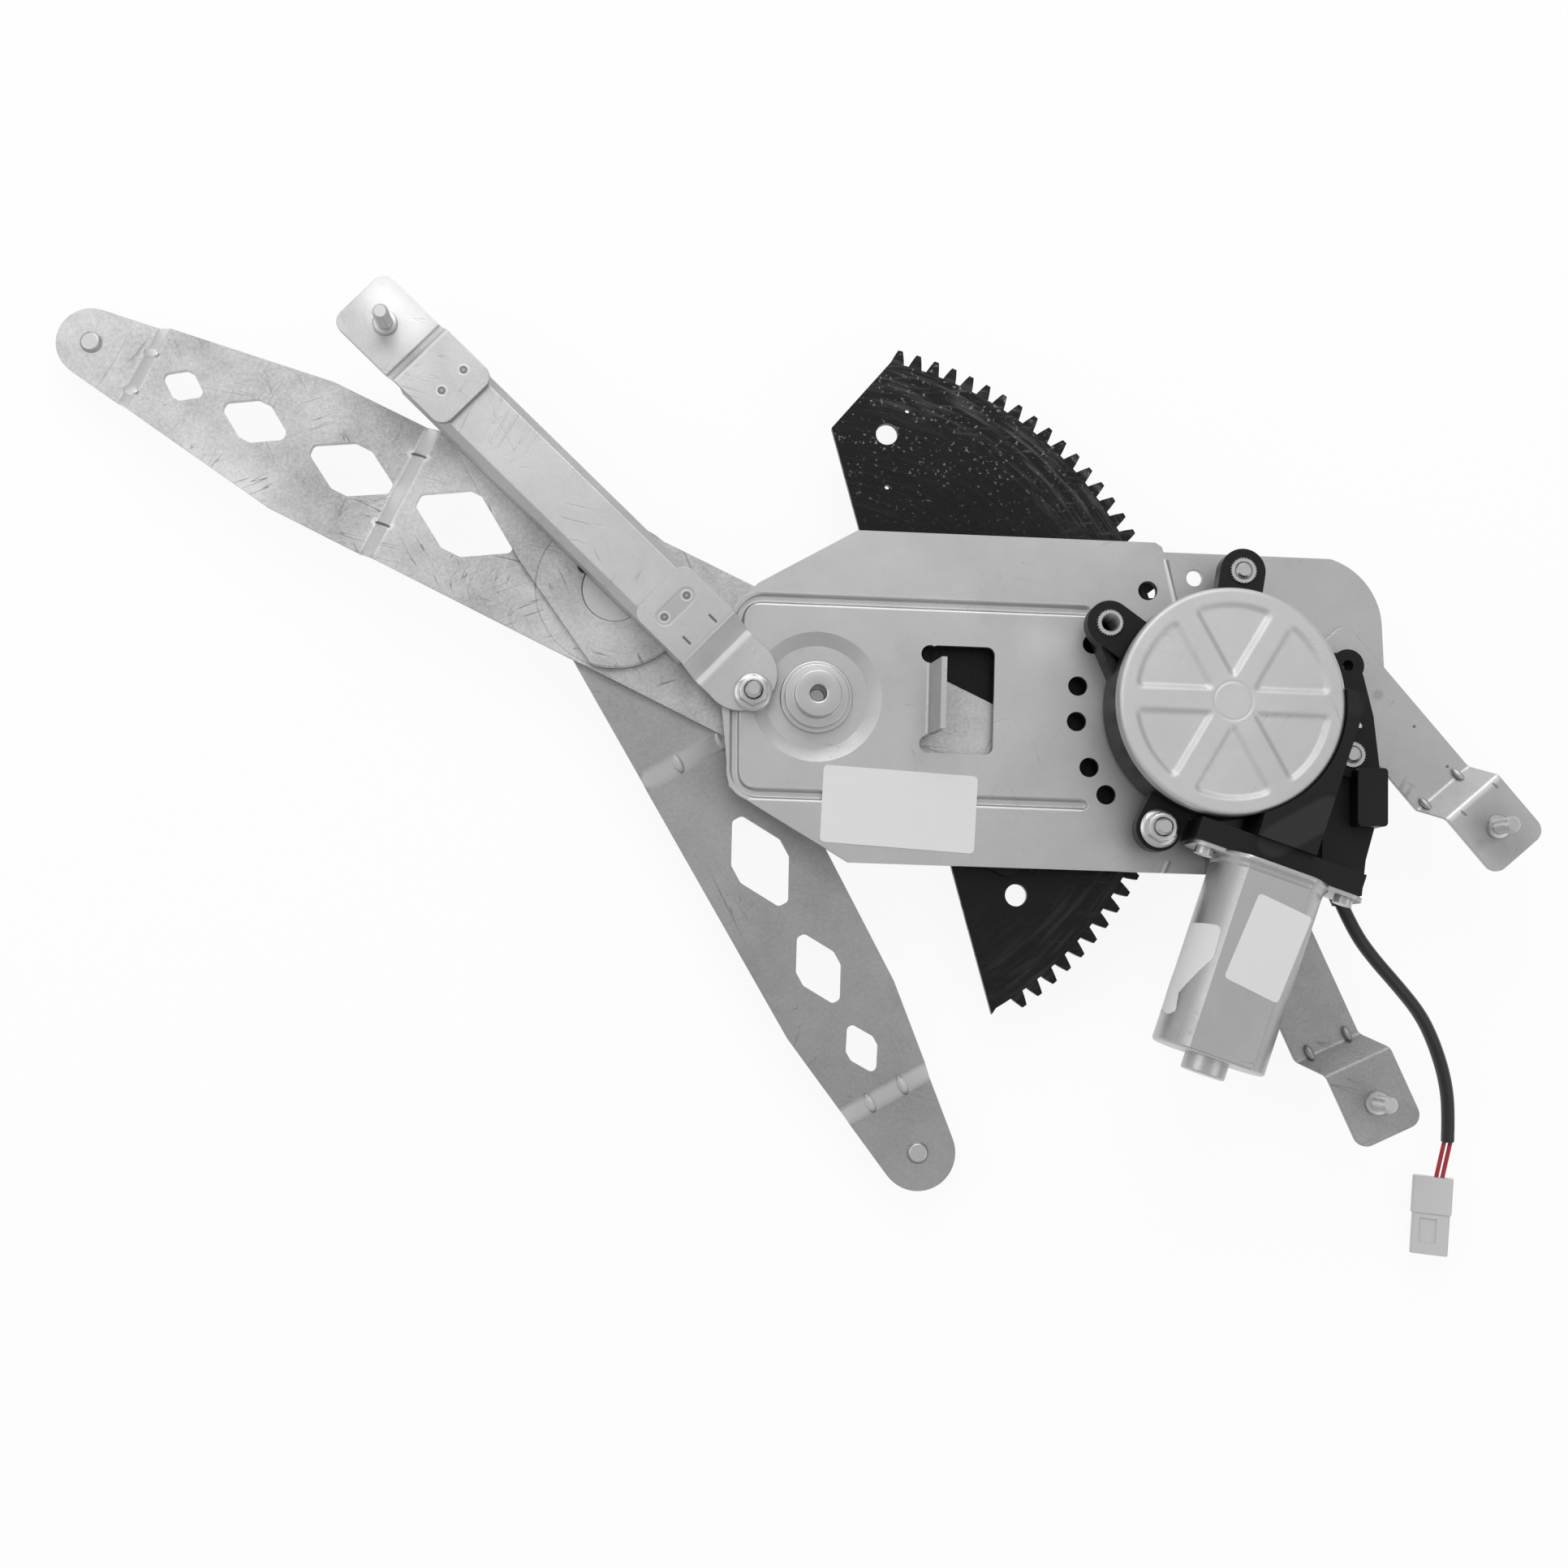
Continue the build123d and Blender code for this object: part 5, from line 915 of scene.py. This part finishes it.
def cover_grid(steps=360):
    """Rows out over the lid, round the rim, down the wall and back underneath."""
    way = np.linspace(0, 2 * math.pi, steps, endpoint=False)
    flat = cover_outer - roll
    lid = np.linspace(0, flat, 112)
    turn = np.linspace(0, math.pi / 2, 7)[1:]
    outline = np.concatenate([
        np.column_stack([lid, np.full(lid.size, cover_top)]),
        np.column_stack([flat + roll * np.sin(turn), cover_top - roll + roll * np.cos(turn)]),
        [(cover_outer, cover_low + 0.2), (cover_outer - 0.2, cover_low), (cover_outer - sheet, cover_low)],
        [(cover_outer - sheet, cover_top - roll), (flat, cover_top - sheet)],
        np.column_stack([lid[::-3], np.full(lid[::-3].size, cover_top - sheet)]),
        [(0.0, cover_top - sheet)],
    ])
    radius, height = outline[:, :1], outline[:, 1:]
    on_lid = (radius <= flat) & (height > cover_low + 2)
    level = height - np.where(on_lid, panel_sink(radius, way), 0)
    return np.stack([motor[0] + radius * np.cos(way), motor[1] + radius * np.sin(way), level], -1) * mm


piece = fixed("pressed_cover", [cover_grid()], "cover_steel", crease=60.0)
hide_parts("gear_cover")
print("cover faces", len(piece.data.polygons))

# %% [markdown]
# ## Pressed beads and gussets
# Where a strip is bent or stepped, the press leaves small beads that keep the bend from opening. Bump alone
# would not break the bend's bright line, so each is the upper half of an ellipsoid laid on the slope. Below
# its rim it goes a little into the sheet and closes.

# %% Beads
def bead(centre, degrees, slope, half_length, half_width, tall, rows=10, steps=28):
    """Half an ellipsoid: its long axis points along the degrees in plan and falls by the slope in degrees."""
    turn, fall = math.radians(degrees), math.radians(slope)
    along = np.array([math.cos(turn) * math.cos(fall), math.sin(turn) * math.cos(fall), -math.sin(fall)])
    across = np.array([-math.sin(turn), math.cos(turn), 0.0])
    up = np.cross(along, across)
    rise = np.append(np.linspace(math.pi / 2, -0.5, rows), -math.pi / 2)[:, None]
    way = np.linspace(0, 2 * math.pi, steps, endpoint=False)
    ahead, aside = half_length * np.cos(rise) * np.cos(way), half_width * np.cos(rise) * np.sin(way)
    above = np.maximum(tall * np.sin(rise), -0.45 * tall) + 0 * way
    shape = ahead[..., None] * along + aside[..., None] * across + above[..., None] * up
    return (np.array(centre) + shape) * mm


for name, body, material, line, rows in (
    ("lift_beads", "lift", "galvanised_arm", lift_line, (
        (lift_bends[0], (-15.4, 13.6), -8.3, 43, (4.4, 1.5, 0.7)),
        (lift_bends[1], (-6.0, 10.0), -14.2, 43, (5.2, 2.0, 1.7)))),
    ("equalizer_beads", "equalizer", "lower_arm_zinc", long_half_line, (
        (long_half_bends[0], (-9.7, 8.0), -10.7, 38, (4.4, 1.8, 1.2)),
        (long_half_bends[1], (-6.8, 6.8), -15.2, 32, (4.8, 1.8, 1.5)))),
):
    grids = [
        bead((*spot(*line, along, across), height), line[1], slope_down, *sizes)
        for along, sides, height, slope_down, sizes in rows for across in sides]
    surface(name, grids, body, material, "galvanised_arm", crease=60.0)
    print(name, len(grids))
for name, material, rows in (
    ("upper_leg_beads", "bracket_zinc", ((238.6, -20.1, 1.2, -48.4), (226.4, -31.6, 1.2, -48.4))),
    ("lower_leg_beads", "lower_arm_zinc", ((197.3, -116.6, 1.2, -64.5), (183.5, -124.0, 1.2, -64.5))),
):
    grids = [bead(row[:3], row[3], -20, 3.0, 1.4, 1.3) for row in rows]
    surface(name, grids, "frame", material, "galvanised_plate", crease=60.0)
    print(name, len(grids))

# %% [markdown]
# ## Paper labels
# Three blank labels are stuck on: one on the plate, where it sinks a little into the pressed groove, one on
# the motor can's flat and a torn one round its side. A shrink-wrapped plane would be open at its rim, so
# each is a thin closed sheet: rings shrink its outline to the middle, and a function lays every point on
# its carrier.

# %% Labels
def label(name, outline, lay, thick=0.14, rings=14):
    """Rings of the underside from the middle out, then rings of the top back in, laid on the carrier."""
    outline = np.asarray(outline, float)
    middle = outline.mean(0)
    share = np.concatenate([np.linspace(0, 1, rings), np.linspace(1, 0, rings)])[:, None]
    height = np.repeat([0.0, thick], rings)[:, None]
    first = middle[0] + share * (outline[:, 0] - middle[0])
    second = middle[1] + share * (outline[:, 1] - middle[1])
    grid = lay(first, second, height + 0 * first)
    return surface(name, [grid * mm], "frame", "label_paper", "plug_white", crease=50.0)


def spaced(corners, radius, spacing=0.8):
    """An outline with eased corners, and points no further apart than the spacing."""
    line = eased(corners, radius, 6, closed=True)
    line = np.vstack([line, line[:1]])
    run = np.concatenate([[0], np.cumsum(np.linalg.norm(np.diff(line, axis=0), axis=1))])
    at = np.linspace(0, run[-1], int(run[-1] / spacing), endpoint=False)
    return np.column_stack([np.interp(at, run, line[:, axis]) for axis in (0, 1)])


def on_plate(x, y, height):
    """The plate's top face, hardly lower over the pressed groove."""
    return np.stack([x, y, height + 0.08 - 0.05 * np.exp(-(((y + 36.4) / 1.6) ** 2))], -1)


can_foot, can_height = (178.72, -10.42), 17.5
can_axis, can_right = (-0.3057, -0.9521), (0.9521, -0.3057)
can_radius, can_flat = 20.5, 17.0
paper_gap = 0.02


def on_can_flat(x, y, height):
    """The flat on top of the motor can."""
    return np.stack([x, y, can_height + can_flat + paper_gap + height], -1)


def round_can(along, way, radius):
    """A place on the motor can: along its axis from the worm's foot, round it from the right to the top."""
    aside = radius * np.cos(way)
    x, y = (can_foot[k] + along * can_axis[k] + aside * can_right[k] for k in (0, 1))
    return np.stack([x, y, can_height + radius * np.sin(way)], -1)


def on_can_side(along, degrees, height):
    """The can's round side, by the distance along its axis and the degrees round it."""
    return round_can(along, np.radians(degrees), can_radius + paper_gap + height)


plate_corners = [(3.3, -24.9), (60.0, -27.3), (59.1, -55.7), (2.6, -53.1)]
can_corners = [(154.8, -68.1), (173.6, -76.3), (161.5, -106.6), (142.5, -97.9)]
label("plate_label", spaced(plate_corners, 1.8), on_plate)
label("can_label", spaced(can_corners, 1.6), on_can_flat)
torn = np.array([
    (78.7, 179), (77.6, 135), (79.0, 131), (89, 129), (93.3, 137), (104.9, 158), (110.4, 152), (112.4, 162),
    (110.7, 188), (112.8, 181), (101.2, 191), (91, 179),
])
arc_per_degree = can_radius * math.radians(1)
torn_from, fray = 88, 0.08
edge_line = spaced(torn * (1, arc_per_degree), 1.0, 0.5)
edge_line += np.random.default_rng(5).normal(0, fray, edge_line.shape) * (edge_line[:, :1] > torn_from)
label("torn_label", edge_line / (1, arc_per_degree), on_can_side, 0.12)
print("torn edge points", len(edge_line))

# %% [markdown]
# ## Drawn and moulded details
# The U-shaped groove of the base plate is pressed, so its walls slope and its shoulders roll. The CAD cuts
# it square, and a bevel that wide would eat its floor. So a thin skin lies in it: closed loops at growing
# distances from the middle line, each at the height of the pressed profile.

# %% Pressed groove
def groove_skin(line, half_width=1.9, depth=1.15, skin=0.1):
    """Loops round a line: forward on its left, round the end, back on its right, round the start. Rows run
    inwards on top and outwards underneath."""
    ahead = np.gradient(line, axis=0)
    ahead /= np.linalg.norm(ahead, axis=1, keepdims=True)
    left = np.column_stack([-ahead[:, 1], ahead[:, 0]])
    way = np.linspace(0, math.pi, 14)[1:-1, None]
    ends = ((left[-1], ahead[-1]), (-left[0], -ahead[0]))
    caps = [np.cos(way) * side[None] + np.sin(way) * tip[None] for side, tip in ends]
    cap = len(way)
    base = np.concatenate([line, np.repeat(line[-1:], cap, 0), line[::-1], np.repeat(line[:1], cap, 0)])
    outwards = np.concatenate([left, caps[0], -left[::-1], caps[1]])
    across = np.array([2.85, 2.2, 1.9, 1.75, 1.6, 1.4, 1.2, 1.05, 0.9, 0.7, 0.15])
    share = np.clip((half_width + 0.05 - across) / 1.15, 0, 1)
    high = 0.04 - (depth + 0.02) * share ** 2 * (3 - 2 * share)
    high[0] = 0.005
    rows = np.concatenate([across, across[::-1]])[:, None, None]
    level = np.concatenate([high, high[::-1] - skin])[:, None] + 0 * base[None, :, 0]
    return np.concatenate([base[None] + rows * outwards[None], level[..., None]], -1) * mm


groove_line = eased([(99.1, 35.6), (-29, 35.6), (-30, 0), (-29, -36.4), (99.1, -36.4)], 9.0, 24)
run = np.concatenate([[0], np.cumsum(np.linalg.norm(np.diff(groove_line, axis=0), axis=1))])
even = np.linspace(0, run[-1], 420)
groove_line = np.column_stack([np.interp(even, run, groove_line[:, axis]) for axis in (0, 1)])
fixed("plate_groove", [groove_skin(groove_line)], "galvanised_plate", ring=True, crease=70.0)
print("groove points", len(groove_line))

# %% [markdown]
# The motor can is drawn from a flange, and a rolled lip stands where its wall begins. A torus would not
# follow the two flats, so the lip's profile is carried round the can's own section.

# %% Can lip
def can_ring(profile, steps=120):
    """Rows (height off the wall, distance along the axis) round the can's section, a circle cut by two
    flats."""
    way = np.linspace(0, 2 * math.pi, steps, endpoint=False)
    wall = np.minimum(can_radius, can_flat / np.maximum(np.abs(np.sin(way)), 1e-6))
    off, along = np.asarray(profile, float).T[..., None]
    return round_can(along, way, wall + off) * mm


lip = [
    (-0.3, 50.6), (1.2, 50.6), (1.4, 50.8), (1.4, 52.0), (1.1, 52.5), (0.6, 53.1), (0.25, 54.0), (0.04, 55.2),
    (-0.3, 55.4),
]
fixed("can_lip", [can_ring(lip)], "can_steel", ring=True, crease=50.0)
print("can lip rows", len(lip))

# %% [markdown]
# A moulded rib braces the housing's empty ear. A plain box would show a knife edge, so its outline is
# stacked in rows and the upper rim is blunted.

# %% Moulded rib of the empty ear
def slab(outline, low, high, blunt=0.5):
    """A closed block over an outline: its middle, the outline below, the walls, a blunted rim, the middle."""
    outline = np.asarray(outline, float)
    middle = outline.mean(0)
    reach = np.linalg.norm(outline - middle, axis=1, keepdims=True)
    rows = [
        (0 * reach, low), (1, low), (1, high - blunt), (1 - 0.4 * blunt / reach, high - 0.15 * blunt),
        (1 - blunt / reach, high), (0 * reach, high),
    ]
    even = np.ones(len(outline))
    grid = [np.column_stack([middle + share * (outline - middle), up * even]) for share, up in rows]
    return np.stack(grid) * mm


rib = spaced([(99.2, 26.5), (102.8, 25.0), (113.0, 5.0), (109.4, 4.4)], 0.8, 0.5)
fixed("ear_rib", [slab(rib, 0.1, 13.0)], "black_plastic", crease=50.0)
print("rib points", len(rib))
